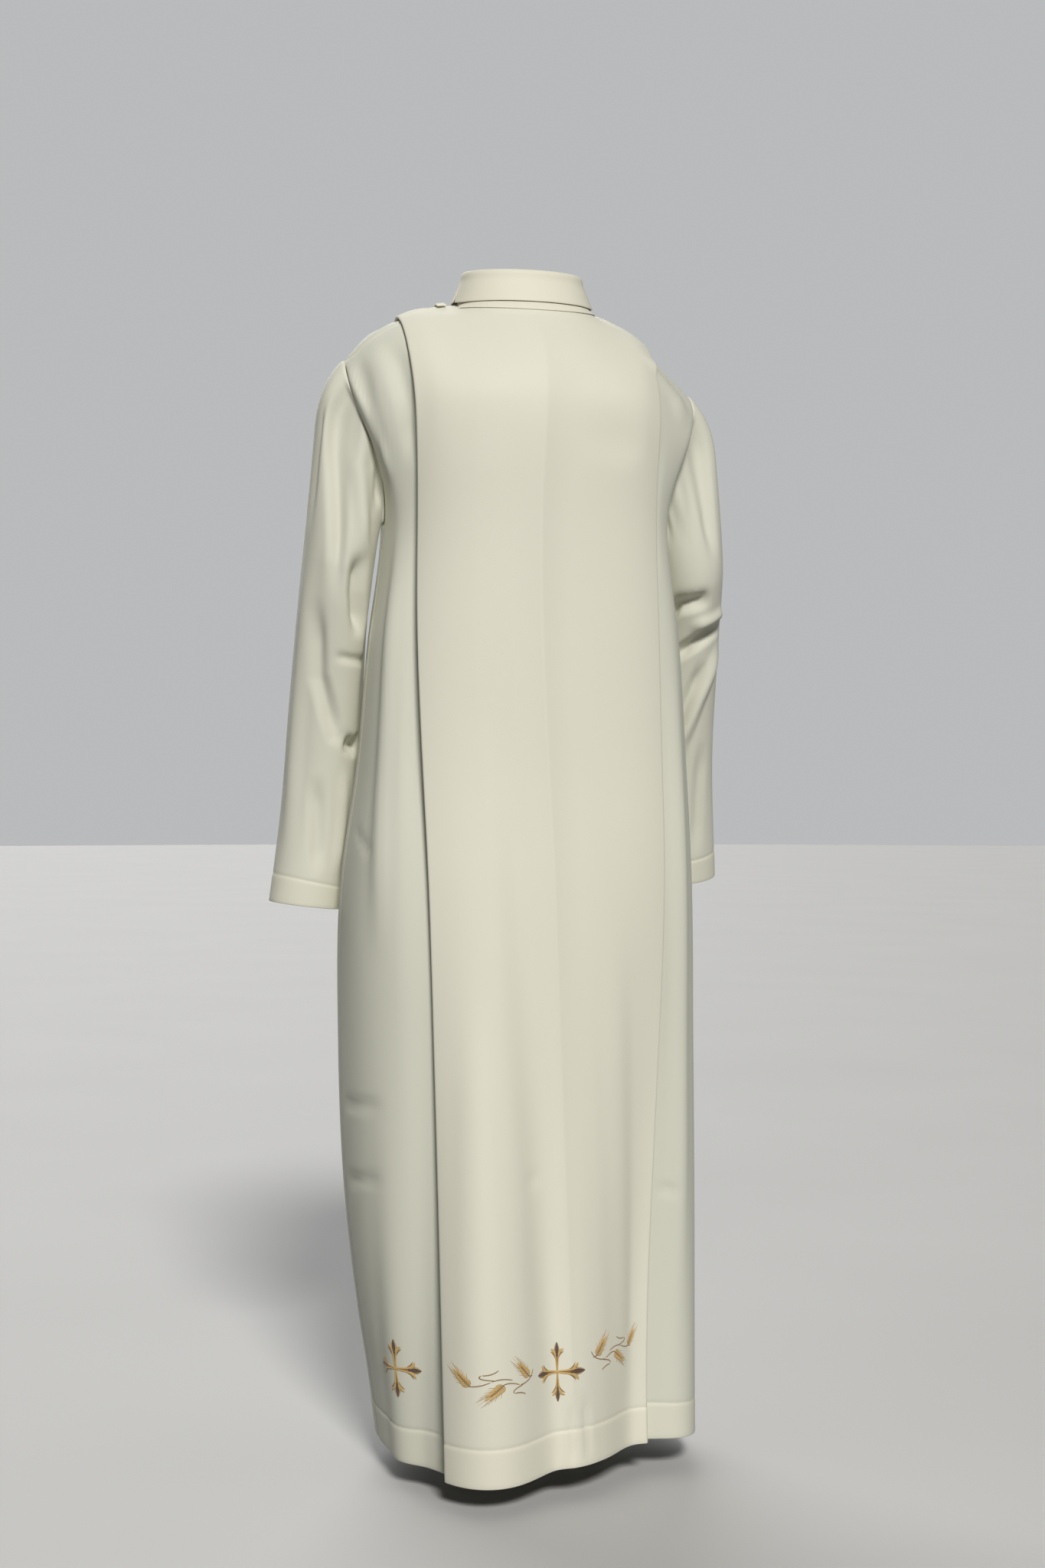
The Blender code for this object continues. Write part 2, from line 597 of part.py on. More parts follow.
def cloth_material(name):
    """Ivory cloth, matt and not metallic."""
    material = bpy.data.materials.new(name)
    material.use_nodes = True
    shader = material.node_tree.nodes["Principled BSDF"]
    shader.inputs["Base Color"].default_value = IVORY
    shader.inputs["Roughness"].default_value = CLOTH_ROUGHNESS
    shader.inputs["Metallic"].default_value = 0.0
    return material


def make_wall(name, points, weights, wall, closed=False):
    """Puts a grid of points into a mesh and gives it its wall. A closed grid joins its ends."""
    rows, columns = points.shape[:2]
    index = np.arange(rows * columns).reshape(rows, columns)
    if closed:
        index = np.concatenate([index, index[:, :1]], axis=1)
    corners = (index[:-1, :-1], index[1:, :-1], index[1:, 1:], index[:-1, 1:])
    quads = np.stack(corners, axis=-1).reshape(-1, 4)
    shifted = points - (0, 0, ORIGIN_HEIGHT)
    mesh = bpy.data.meshes.new(name)
    mesh.from_pydata(shifted.reshape(-1, 3).tolist(), [], quads.tolist())
    mesh.materials.append(cloth_material(name))
    mesh.shade_smooth()
    obj = bpy.data.objects.new(name, mesh)
    bpy.context.scene.collection.objects.link(obj)
    solidify = obj.modifiers.new("wall", "SOLIDIFY")
    solidify.thickness = wall
    solidify.offset = 0.0
    if weights is not None:
        group = obj.vertex_groups.new(name="wall")
        for row, weight in enumerate(weights[:, 0]):
            group.add(index[row, :columns].tolist(), float(weight), "REPLACE")
        solidify.vertex_group = "wall"
    return obj


def main():
    """Clears the scene and makes each piece."""
    for obj in list(bpy.data.objects):
        bpy.data.objects.remove(obj)
    for name, face in (("back", 1), ("front", -1)):
        points, weights = body_cloth(face)
        make_wall(name, open_seams(points), weights, TURNED_WALL)
    arms = (
        ("sleeve_left", ARM_LEFT, SLEEVE_FOLDS_LEFT, 1),
        ("sleeve_right", ARM_RIGHT, SLEEVE_FOLDS_RIGHT, -1),
    )
    for name, path, folds, side in arms:
        points, weights = sleeve_cloth(path, folds, side)
        make_wall(name, points, weights, TURNED_WALL, closed=True)
    make_wall("collar", collar_cloth(), None, COLLAR_WALL)
    make_wall("shoulder_tab", tab_cloth(), None, TAB_WALL)


main()
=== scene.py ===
"""An ivory alb robe as it hangs on its wearer, empty: its cloth, its sewing, its embroidery and the studio.

The robe faces -Y and its left side is +X. Heights in the tables are counted from 1.42 m below the origin.
Front and back are each one cloth with a wide centre panel between knife pleats. The cloth follows rings of
the body and is drawn to the shoulder line, the neck and the armholes above them.
"""

import logging
from dataclasses import dataclass, field
from enum import Enum
from math import pi

import bpy
import numpy as np
import numpy.typing as npt
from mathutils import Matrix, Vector


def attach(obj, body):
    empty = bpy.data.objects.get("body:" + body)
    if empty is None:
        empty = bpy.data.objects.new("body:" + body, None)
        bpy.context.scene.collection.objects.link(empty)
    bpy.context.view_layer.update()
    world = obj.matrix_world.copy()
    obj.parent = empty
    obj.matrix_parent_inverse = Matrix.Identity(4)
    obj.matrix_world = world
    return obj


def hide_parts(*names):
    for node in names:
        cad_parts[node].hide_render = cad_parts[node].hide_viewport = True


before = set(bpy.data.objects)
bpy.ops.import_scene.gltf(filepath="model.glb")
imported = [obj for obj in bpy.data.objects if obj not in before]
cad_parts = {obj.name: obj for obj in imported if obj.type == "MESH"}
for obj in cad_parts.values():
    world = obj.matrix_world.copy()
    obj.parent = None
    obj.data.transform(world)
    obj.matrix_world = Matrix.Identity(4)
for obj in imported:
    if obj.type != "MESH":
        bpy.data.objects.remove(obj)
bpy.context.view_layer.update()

Array = npt.NDArray[np.float64]
Log = logging.getLogger("alb_robe")

# Driving sizes in metres.
ORIGIN_HEIGHT = 1.42
WALL = 0.0008
SEAM_GAP = 0.0003
SEAM_ROLL = 0.0045
SEAM_SINK = 0.0013
SLEEVE_GAP = 0.0007
HEM_TURN = 0.046
CUFF_TURN = 0.036
TURN_RADIUS = 0.0006
FROM_TABLES = np.array((0.0, 0.0, ORIGIN_HEIGHT))

NECK_HALF_WIDTH = 0.088
NECK_BACK = 0.066
NECK_FRONT = 0.070
NECK_BACK_DROP = 0.004
NECK_FRONT_DROP = 0.055
NECK_FRONT_POWER = 1.4
CREST_Y = -0.005

PANEL_HALF_WIDTH = 0.160
PANEL_NARROWING = 0.13
UNDERLAY_DEPTH = 0.055
TIP_REACH = 0.205
SIDE_REACH = 0.280
PLEAT_PITCH_TOP = 0.0033
PLEAT_PITCH_HEM = 0.0060
PLEAT_PITCH_START = 0.05
UNDERARM_HEIGHT = 1.168

# The half widths to the wearer's left and right, and the depths behind and before the axis.
BODY_RINGS = np.array(
    # height, left, right, back, front
    [
        (-0.03, 0.190, 0.222, 0.182, 0.170),
        (0.07, 0.203, 0.222, 0.181, 0.168),
        (0.15, 0.216, 0.222, 0.180, 0.164),
        (0.30, 0.234, 0.222, 0.178, 0.158),
        (0.50, 0.243, 0.221, 0.174, 0.152),
        (0.72, 0.239, 0.219, 0.170, 0.146),
        (0.85, 0.220, 0.213, 0.163, 0.142),
        (1.02, 0.204, 0.203, 0.156, 0.140),
        (1.16, 0.187, 0.187, 0.151, 0.138),
        (1.30, 0.192, 0.189, 0.149, 0.134),
        (1.48, 0.194, 0.188, 0.124, 0.110),
    ]
)
RING_POWER_BACK = 2.6
RING_POWER_FRONT = 2.3
RING_HALF_SIZES = np.array((0.215, 0.180))

# The crest of the shoulders, by station: 1 is the shoulder tip.
SHOULDER_LINE = np.array(
    # station, left x, left height, right x, right height
    [
        (0.41, 0.088, 1.456, 0.088, 1.456),
        (0.60, 0.126, 1.450, 0.122, 1.443),
        (0.77, 0.161, 1.440, 0.154, 1.424),
        (0.90, 0.207, 1.416, 0.194, 1.388),
        (1.00, 0.2375, 1.382, 0.2275, 1.358),
    ]
)
NECK_STATION = float(SHOULDER_LINE[0, 0])
NECK_HEIGHT = float(SHOULDER_LINE[0, 2])
CLOTH_LENGTH = float(SHOULDER_LINE[2, 2])
SEAM_BEHIND_CREST = np.array(
    # station, share of the way down the back
    [(0.41, 0.0), (0.50, 0.0016), (0.62, 0.0024), (0.78, 0.0038), (0.90, 0.0068), (0.96, 0.0045), (1.0, 0.0)]
)
ARMHOLE = np.array(
    # way round from the tip to the underarm, share of the way down
    [(0.00, 0.0000), (0.25, 0.0330), (0.50, 0.0840), (0.75, 0.1300), (0.90, 0.1485), (1.00, 0.1525)]
)
SLIDE = np.array(
    # height, slide to the wearer's left
    [(-0.03, -0.014), (0.30, -0.004), (0.70, 0.008), (1.14, 0.019), (1.30, 0.014), (1.48, 0.004)]
)
SWELLS = (
    # face, reach to the left, half width, height where it ends, swell at the hem
    (1, 0.092, 0.088, 0.95, 0.050),
    (1, -0.120, 0.105, 0.80, -0.045),
    (1, 0.215, 0.040, 0.55, 0.008),
    (-1, 0.080, 0.080, 0.90, 0.020),
    (-1, -0.080, 0.080, 0.90, 0.022),
)
HEM_LINE = np.array(
    # station, back left, back right, front left, front right
    [
        (0.0, -0.008, -0.008, 0.002, 0.002),
        (0.4, -0.015, -0.006, 0.000, -0.002),
        (0.8, -0.015, -0.004, -0.004, -0.004),
        (1.4, -0.012, -0.010, -0.006, -0.006),
        (2.0, -0.010, -0.012, -0.010, -0.012),
    ]
)
ARM_LEFT = np.array(
    # x, y, height, half across, half along
    [
        (0.2260, 0.004, 1.285, 0.047, 0.066),
        (0.2410, -0.030, 1.118, 0.0460, 0.064),
        (0.2500, -0.072, 0.930, 0.0480, 0.055),
        (0.2590, -0.088, 0.800, 0.0470, 0.047),
        (0.2740, -0.092, 0.676, 0.0470, 0.040),
    ]
)
ARM_RIGHT = np.array(
    # x, y, height, half across, half along
    [
        (-0.2190, 0.004, 1.268, 0.046, 0.066),
        (-0.2380, -0.024, 1.140, 0.0455, 0.064),
        (-0.2480, -0.066, 1.040, 0.0450, 0.060),
        (-0.2540, -0.104, 0.880, 0.0450, 0.047),
        (-0.2700, -0.145, 0.706, 0.0480, 0.040),
    ]
)
COLLAR_SECTION = np.array(
    # outwards, upwards, share of the fall's own drop
    [
        (-0.0028, 0.0000, 0.0),
        (-0.0052, 0.0120, 0.0),
        (-0.0085, 0.0270, 0.0),
        (-0.0122, 0.0380, 0.0),
        (-0.0126, 0.0408, 0.0),
        (-0.0108, 0.0425, 0.0),
        (-0.0086, 0.0412, 0.0),
        (-0.0052, 0.0300, 0.1),
        (0.0010, 0.0150, 0.5),
        (0.0068, 0.0010, 1.0),
    ]
)
FALL_DROP = np.array(
    # degrees from the centre back, drop of the fall's edge
    [(0, -0.0020), (40, -0.0018), (70, -0.0010), (90, 0.0012), (110, 0.0005), (140, 0.0005), (180, 0.0000)]
)
COLLAR_OPENING = 84.0
STITCH_ROWS = np.array((-0.0060, -0.0030, -0.0014, 0.0, 0.0014, 0.0030, 0.0060))
STITCH_GROOVE = 0.0006
GROOVE_HALF_WIDTH = 0.0018
HEM_THICKENING = 0.7
HEM_STEP = 0.004
STITCH_SHAPE = np.array(
    # place along the stitch in lengths, thickness in radii
    [(-0.5, 0.02), (-0.46, 0.6), (-0.3, 0.95), (0.0, 1.0), (0.3, 0.95), (0.46, 0.6), (0.5, 0.02)]
)
MM_PER_METRE = 1000


class Face(Enum):
    """The side of the robe that a cloth lies on."""

    BACK = 1
    FRONT = -1


class Arm(Enum):
    """The wearer's left or right arm."""

    LEFT = 1
    RIGHT = -1


def smooth_table(where: Array, stations: Array, values: Array) -> Array:
    """A cubic curve through the rows of a table, held flat past both ends.

    Args:
        where: the places to read the table at.
        stations: the table's first column, rising.
        values: the column that is read.

    Returns:
        The value at each place, as a Hermite curve whose slopes are the table's central differences.
    """
    slopes = np.gradient(values, stations)
    row = np.clip(np.searchsorted(stations, where) - 1, 0, len(stations) - 2)
    width = stations[row + 1] - stations[row]
    t = np.clip((where - stations[row]) / width, 0.0, 1.0)
    start = (1 + 2 * t) * (1 - t) ** 2 * values[row] + t * (1 - t) ** 2 * width * slopes[row]
    end = t**2 * (3 - 2 * t) * values[row + 1] + t**2 * (t - 1) * width * slopes[row + 1]
    return start + end


def read_table(table: Array, column: int, where: Array) -> Array:
    """One column of a table whose first column is the place, read along its smooth curve."""
    return smooth_table(where, table[:, 0], table[:, column])


def eased(low: float, high: float, where: Array) -> Array:
    """0 below low, 1 above high, and a smooth step between."""
    t = np.clip((where - low) / (high - low), 0.0, 1.0)
    return t * t * (3 - 2 * t)


def between(limits: tuple[float, float, float, float], where: Array) -> Array:
    """0, then 1 from the second limit to the third, then 0 again, with smooth steps."""
    return eased(limits[0], limits[1], where) * (1 - eased(limits[2], limits[3], where))


def unit(vectors: Array) -> Array:
    """Vectors divided by their own lengths."""
    return vectors / np.maximum(np.linalg.norm(vectors, axis=-1, keepdims=True), 1e-12)


def hump(where: Array) -> Array:
    """A raised cosine: 1 at 0, and 0 from 1 on either side."""
    return np.cos(np.clip(where, -1, 1) * pi / 2) ** 2


def running_sum(steps: Array) -> Array:
    """The sum of the steps before each point of a line, from 0, along the last axis."""
    return np.concatenate([0 * steps[..., :1], np.cumsum(steps, axis=-1)], axis=-1)


def closed_up(index: Array) -> Array:
    """A grid of indices with its first column again at its end."""
    return np.concatenate([index, index[..., :1]], axis=-1)


def cells(index: Array, across_first: bool = True) -> Array:
    """The four corners of every cell of a grid of indices, which turn one way or the other."""
    corners = [index[..., :-1, :-1], index[..., :-1, 1:], index[..., 1:, 1:], index[..., 1:, :-1]]
    if not across_first:
        corners = [corners[0], *corners[:0:-1]]
    return np.stack(corners, axis=-1).reshape(-1, 4)


def soft_max(first: Array, second: Array, blend: float) -> Array:
    """The larger of two values, rounded where they are closer than blend."""
    return 0.5 * (first + second + np.sqrt((first - second) ** 2 + blend**2))


@dataclass(frozen=True)
class Fold:
    """A soft fold of cloth along a bent line of (across, height) points, in metres."""

    line: tuple[tuple[float, float], ...]
    half_width: float
    depth: float
    crisp: float = 1.0
    fading: float = 0.3

    def lift(self, across: Array, height: Array) -> Array:
        """How far the fold moves each place out.

        Args:
            across: distance round the cloth, in metres.
            height: height, in metres.

        Returns:
            Depth times a raised cosine of the distance to the line, to the power crisp. It fades over the
            share fading of the line at either end.
        """
        nearest = np.full(across.shape, 1e3)
        along = np.zeros(across.shape)
        corners = np.array(self.line)
        lengths = np.hypot(*np.diff(corners, axis=0).T)
        before = running_sum(lengths)
        for corner, step, length, start in zip(corners, np.diff(corners, axis=0), lengths, before):
            t = ((across - corner[0]) * step[0] + (height - corner[1]) * step[1]) / length**2
            t = np.clip(t, 0.0, 1.0)
            gap = np.hypot(across - corner[0] - t * step[0], height - corner[1] - t * step[1])
            along = np.where(gap < nearest, start + t * length, along)
            nearest = np.minimum(gap, nearest)
        share = along / before[-1]
        fade = eased(0.0, self.fading, np.minimum(share, 1 - share))
        return self.depth * hump(nearest / self.half_width) ** self.crisp * fade


def lift_of(folds: tuple[Fold, ...], across: Array, height: Array) -> Array:
    """The sum of the folds' lifts at each place."""
    total = np.zeros(across.shape)
    for fold in folds:
        total += fold.lift(across, height)
    return total


@dataclass
class RobeForm:
    """The hollow form that the body cloths follow: rings of the body, drawn up to the neck and shoulders."""

    levels: int = 400
    samples: int = 400
    neck_spread: float = 0.26
    neck_spread_depth: float = 0.020
    arch_depths: tuple[float, float] = (0.03, 0.13)
    arch_power: float = 1.25
    arch_power_gain: float = 0.35
    arch_station_end: float = 0.8
    arch_blend: float = 0.15
    pull_below_underarm: float = 0.02
    pull_least: float = 0.03
    pull_power: float = 1.3
    normal_steps: tuple[float, float] = (0.004, 0.0015)
    crest_stations: float = 0.12
    crest_share: float = 0.012
    lookup: dict[tuple[int, int], tuple[Array, Array, Array]] = field(init=False, default_factory=dict)
    level_heights: Array = field(init=False)

    def __post_init__(self) -> None:
        """Works out a quarter ring at every level for each face and side, as points at even arc lengths.

        A ring is a superellipse: x is the half width times sin to the power 2/n, y the depth times cos so.
        """
        self.level_heights = np.linspace(BODY_RINGS[0, 0], BODY_RINGS[-1, 0], self.levels)
        angle = np.linspace(0, pi / 2, 3 * self.samples)
        even = np.linspace(0, 1, self.samples)
        for face, depth_column, power in ((1, 3, RING_POWER_BACK), (-1, 4, RING_POWER_FRONT)):
            depth = read_table(BODY_RINGS, depth_column, self.level_heights)
            for side, half_column in ((1, 1), (-1, 2)):
                half = read_table(BODY_RINGS, half_column, self.level_heights)
                x = half[:, None] * np.sin(angle) ** (2 / power)
                y = depth[:, None] * np.abs(np.cos(angle)) ** (2 / power)
                arc = running_sum(np.hypot(np.diff(x), np.diff(y)))
                even_x = np.array([np.interp(even * a[-1], a, row) for a, row in zip(arc, x)])
                even_y = np.array([np.interp(even * a[-1], a, row) for a, row in zip(arc, y)])
                self.lookup[face, side] = (side * even_x, face * even_y, arc[:, -1])

    def quarter(self, height: Array, face: int, side: int) -> Array:
        """The arc from the centre line to the side seam."""
        return np.interp(height, self.level_heights, self.lookup[face, side][2])

    def ring_point(self, reach: Array, height: Array, face: int, side: int) -> Array:
        """The ring's point at an arc length from the centre line.

        Args:
            reach: arc length, in metres.
            height: height of the ring.
            face: 1 for the back and -1 for the front.
            side: 1 for the wearer's left and -1 for the right.

        Returns:
            x and y, read bilinearly from the even table.
        """
        xs, ys, _ = self.lookup[face, side]
        row = np.interp(height, self.level_heights, np.arange(self.levels))
        column = np.clip(reach / self.quarter(height, face, side), 0, 1) * (self.samples - 1)
        r = np.minimum(row.astype(int), self.levels - 2)
        c = np.minimum(column.astype(int), self.samples - 2)
        down, on = row - r, column - c
        parts = []
        for table in (xs, ys):
            upper = table[r, c] * (1 - on) + table[r, c + 1] * on
            lower = table[r + 1, c] * (1 - on) + table[r + 1, c + 1] * on
            parts.append(upper * (1 - down) + lower * down)
        return np.stack(parts, axis=-1)

    def top_line(self, station: Array, face: int) -> Array:
        """Where each column of cloth starts: on the neck or on the crest, up to the shoulder tip."""
        side = np.where(station < 0, -1, 1)
        far = np.minimum(np.abs(station), 1)
        turn = pi / 2 * np.clip(far / NECK_STATION, 0, 1)
        neck_x = NECK_HALF_WIDTH * np.sin(turn)
        neck_y = CREST_Y + face * (NECK_BACK if face > 0 else NECK_FRONT) * np.cos(turn)
        back_drop = NECK_BACK_DROP * np.cos(turn)
        front_drop = NECK_FRONT_DROP * np.abs(np.cos(turn)) ** NECK_FRONT_POWER
        neck_z = SHOULDER_LINE[0, 2] - (back_drop if face > 0 else front_drop)
        crest = [read_table(SHOULDER_LINE, column, far) for column in (1, 2, 3, 4)]
        in_neck = far < NECK_STATION
        x = np.where(in_neck, neck_x, np.where(side > 0, crest[0], crest[2]))
        y = np.where(in_neck, neck_y, CREST_Y)
        z = np.where(in_neck, neck_z, np.where(side > 0, crest[1], crest[3]))
        return np.stack([side * x, y, z], axis=-1)

    def softened_depth(self, station: Array, down: Array, face: int) -> Array:
        """The top line's own y, averaged over stations that spread further down the cloth."""
        reach = self.neck_spread * eased(0.0, self.neck_spread_depth, down)
        total = np.zeros(station.shape)
        for offset, weight in ((-1.0, 0.125), (-0.5, 0.25), (0.0, 0.25), (0.5, 0.25), (1.0, 0.125)):
            turn = pi / 2 * np.clip(np.abs(station + offset * reach) / NECK_STATION, 0, 1)
            total += weight * np.cos(turn)
        return CREST_Y + face * (NECK_BACK if face > 0 else NECK_FRONT) * total

    def hem_height(self, station: Array, face: int) -> Array:
        """The height of the hem below a station."""
        left, right = (1, 2) if face > 0 else (3, 4)
        far = np.abs(station)
        return np.where(station < 0, read_table(HEM_LINE, right, far), read_table(HEM_LINE, left, far))

    def reach(self, station: Array, height: Array, face: int) -> Array:
        """The arc length from the centre line to a station."""
        far = np.abs(station)
        quarter = np.where(station > 0, self.quarter(height, face, 1), self.quarter(height, face, -1))
        return np.where(far <= 1, far * TIP_REACH, TIP_REACH + (far - 1) * (quarter - TIP_REACH))

    def on_ring(self, station: Array, height: Array, face: int) -> Array:
        """The body ring's point for a station, with the cloth's slide round the body and its swells."""
        side = np.where(station < 0, -1, 1)
        reach = self.reach(station, height, face)
        quarter = np.where(side > 0, self.quarter(height, face, 1), self.quarter(height, face, -1))
        slid = side * reach + read_table(SLIDE, 1, height) * (1 - (reach / quarter) ** 2)
        left = self.ring_point(np.abs(slid), height, face, 1)
        right = self.ring_point(np.abs(slid), height, face, -1)
        point = np.where((slid >= 0)[..., None], left, right)
        swell = np.zeros(reach.shape)
        for where_face, centre, half, ends, size in SWELLS:
            if where_face == face:
                swell += size * hump((slid - centre) / half) * (1 - eased(0, ends, height))
        outward = np.sign(point) * np.abs(point / RING_HALF_SIZES) ** (RING_POWER_BACK - 1) / RING_HALF_SIZES
        return point + unit(outward) * swell[..., None]

    def surface(self, station: Array, share: Array, face: int) -> Array:
        """The side layer at a station and a share of the way from the top line to the hem.

        The ring's point is pulled towards the top line: across by an arch that leaves the crest level, and
        sideways by a cosine that ends near the underarm. Where the arch ends, half of t plus the root of t
        squared and a small square stands for t, so that the cloth bends on without a line.
        """
        top = self.top_line(station, face)
        height = top[..., 2] - share * (top[..., 2] - self.hem_height(station, face))
        down = top[..., 2] - height
        far = np.abs(station)
        above_underarm = top[..., 2] - UNDERARM_HEIGHT
        least, most = self.arch_depths
        arch_depth = np.clip(above_underarm + least, least, most)
        arch_power = self.arch_power + self.arch_power_gain * eased(NECK_STATION, self.arch_station_end, far)
        t = 1 - np.clip(down / arch_depth, 0, 2)
        t = (t + np.sqrt(t**2 + self.arch_blend**2 * (1 - t))) / 2
        arch = 1 - (1 - t**arch_power) ** (1 / arch_power)
        ease_depth = np.maximum(above_underarm + self.pull_below_underarm, self.pull_least)
        ease = (0.5 * (1 + np.cos(pi * np.clip(down / ease_depth, 0, 1)))) ** self.pull_power
        drawn = np.stack([top[..., 0], self.softened_depth(station, down, face)], axis=-1)
        pull = drawn - self.on_ring(np.clip(station, -1, 1), top[..., 2], face)
        fade = 1 - np.clip(far - 1, 0, 1) ** 2
        flat = self.on_ring(station, height, face) + pull * np.stack([ease, arch], axis=-1) * fade[..., None]
        return np.concatenate([flat, height[..., None]], axis=-1)

    def carrier(self, station: Array, share: Array, face: int) -> Array:
        """The side layer, where a share below 0 runs over the crest on to the other face."""
        here = self.surface(station, np.abs(share), face)
        other = self.surface(station, np.abs(share), -face)
        return np.where((share < -1e-6)[..., None], other, here)

    def cloth_point(self, station: Array, share: Array, lift: Array, face: int) -> Array:
        """The side layer moved out along its normal.

        Args:
            station: place across, 0 at the centre and 1 below the shoulder tip.
            share: share of the way from the top line to the hem.
            lift: distance out, in metres.
            face: 1 for the back and -1 for the front.

        Returns:
            Points. The normal is the cross product of two central differences, and turns to the crest's own
            normal close to the crest.
        """
        aside, below = self.normal_steps
        across = self.carrier(station + aside, share, face) - self.carrier(station - aside, share, face)
        low = np.minimum(share + below, 1.0)
        high = share - below * (share > below)
        along = self.carrier(station, low, face) - self.carrier(station, high, face)
        normal = unit(np.cross(across, along) * face)
        crest = unit(np.stack([-across[..., 2], np.zeros(share.shape), across[..., 0]], axis=-1))
        past_neck = eased(NECK_STATION, NECK_STATION + self.crest_stations, np.abs(station))[..., None]
        crest = crest * past_neck + np.array((0.0, 0.0, 1.0)) * (1 - past_neck)
        past_crest = eased(0.0, self.crest_share, np.abs(share))[..., None]
        normal = crest * (1 - past_crest) + normal * past_crest
        return self.carrier(station, share, face) + normal * lift[..., None]


def pleat_pitch(share: Array) -> Array:
    """The distance from one layer of a pleat to the next."""
    return PLEAT_PITCH_TOP + (PLEAT_PITCH_HEM - PLEAT_PITCH_TOP) * eased(PLEAT_PITCH_START, 1.0, share)


def stitch_dip(below: Array) -> Array:
    """The lift of a cloth near its stitch line: a groove at the stitches and a thicker hem below them."""
    groove = STITCH_GROOVE * np.exp(-((below / GROOVE_HALF_WIDTH) ** 2))
    return HEM_THICKENING * STITCH_GROOVE * eased(0.0, HEM_STEP, below) - groove


def narrowing(share: Array) -> Array:
    """The share of its half width that the panel has lost at a share of the way down."""
    return PANEL_NARROWING * eased(0.1, 1.0, share)


def seam_roll(distance: Array) -> Array:
    """How far a cloth has rolled inwards at a distance from its seam: 1 at the seam itself."""
    return np.clip(1 - distance / SEAM_ROLL, 0, 1) ** 2


def hem_mask(stitch_row: int, shape: tuple[int, ...]) -> Array:
    """1 on a grid's rows below its stitch line, and 0 above it."""
    return eased(stitch_row - 1.5, stitch_row + 0.5, np.arange(shape[0]))[:, None] * np.ones(shape)


@dataclass
class ClothGrid:
    """The middle surface of a cloth as rows and columns of points, in the tables' heights."""

    points: Array
    outward: int
    closed: bool = False
    masks: dict[str, Array] = field(default_factory=dict)

    def normals(self) -> Array:
        """The unit normal at each point, from central differences across and down, turned outwards."""
        if self.closed:
            across = np.roll(self.points, -1, axis=1) - np.roll(self.points, 1, axis=1)
        else:
            across = np.gradient(self.points, axis=1)
        return unit(np.cross(across, np.gradient(self.points, axis=0))) * self.outward

    def chart(self) -> Array:
        """The cloth laid flat: arc lengths across from the middle column and down from the first row."""
        points = np.concatenate([self.points, self.points[:, :1]], axis=1) if self.closed else self.points
        across = np.linalg.norm(np.diff(points, axis=1), axis=-1)
        down = np.linalg.norm(np.diff(points, axis=0), axis=-1)
        u = running_sum(across)
        middle = points.shape[1] // 2
        return np.stack([u - u[:, middle : middle + 1], -running_sum(down.T).T], axis=-1)

    def turned_up(self, depth_rows: int, radius: float, turn_steps: int) -> "ClothGrid":
        """The cloth with its last rows turned up inside itself.

        Args:
            depth_rows: how many rows the turning reaches up.
            radius: half the distance between the two layers.
            turn_steps: rows round the turn.

        Returns:
            A grid that goes on round a half circle and up again, twice the radius inside.
        """
        normals = self.normals()
        down = unit(self.points[-1] - self.points[-2])
        angle = np.linspace(0, pi, turn_steps + 2)[1:-1, None, None]
        round_it = self.points[-1] + radius * (normals[-1] * (np.cos(angle) - 1) + down * np.sin(angle))
        inside = (self.points - 2 * radius * normals)[-depth_rows:][::-1]
        masks = {}
        for name, values in self.masks.items():
            ends = np.repeat(values[-1:], turn_steps, axis=0)
            masks[name] = np.concatenate([values, ends, values[-depth_rows:][::-1]])
        points = np.concatenate([self.points, round_it, inside])
        return ClothGrid(points, self.outward, self.closed, masks)


def edge_loops(rows: int, columns: int, closed: bool) -> list[tuple[Array, Array, Array, Array]]:
    """The open edges of a grid, each as rows and columns of its points and of their inner neighbours."""
    r, c = np.arange(rows), np.arange(columns)
    if closed:
        top = (np.zeros(columns, int), c, np.ones(columns, int), c)
        bottom = (np.full(columns, rows - 1), c[::-1], np.full(columns, rows - 2), c[::-1])
        return [top, bottom]
    edge_r = np.concatenate([0 * c[:-1], r[:-1], 0 * c[:-1] + rows - 1, r[:0:-1]])
    edge_c = np.concatenate([c[:-1], 0 * r[:-1] + columns - 1, c[:0:-1], 0 * r[:-1]])
    return [(edge_r, edge_c, np.clip(edge_r, 1, rows - 2), np.clip(edge_c, 1, columns - 2))]


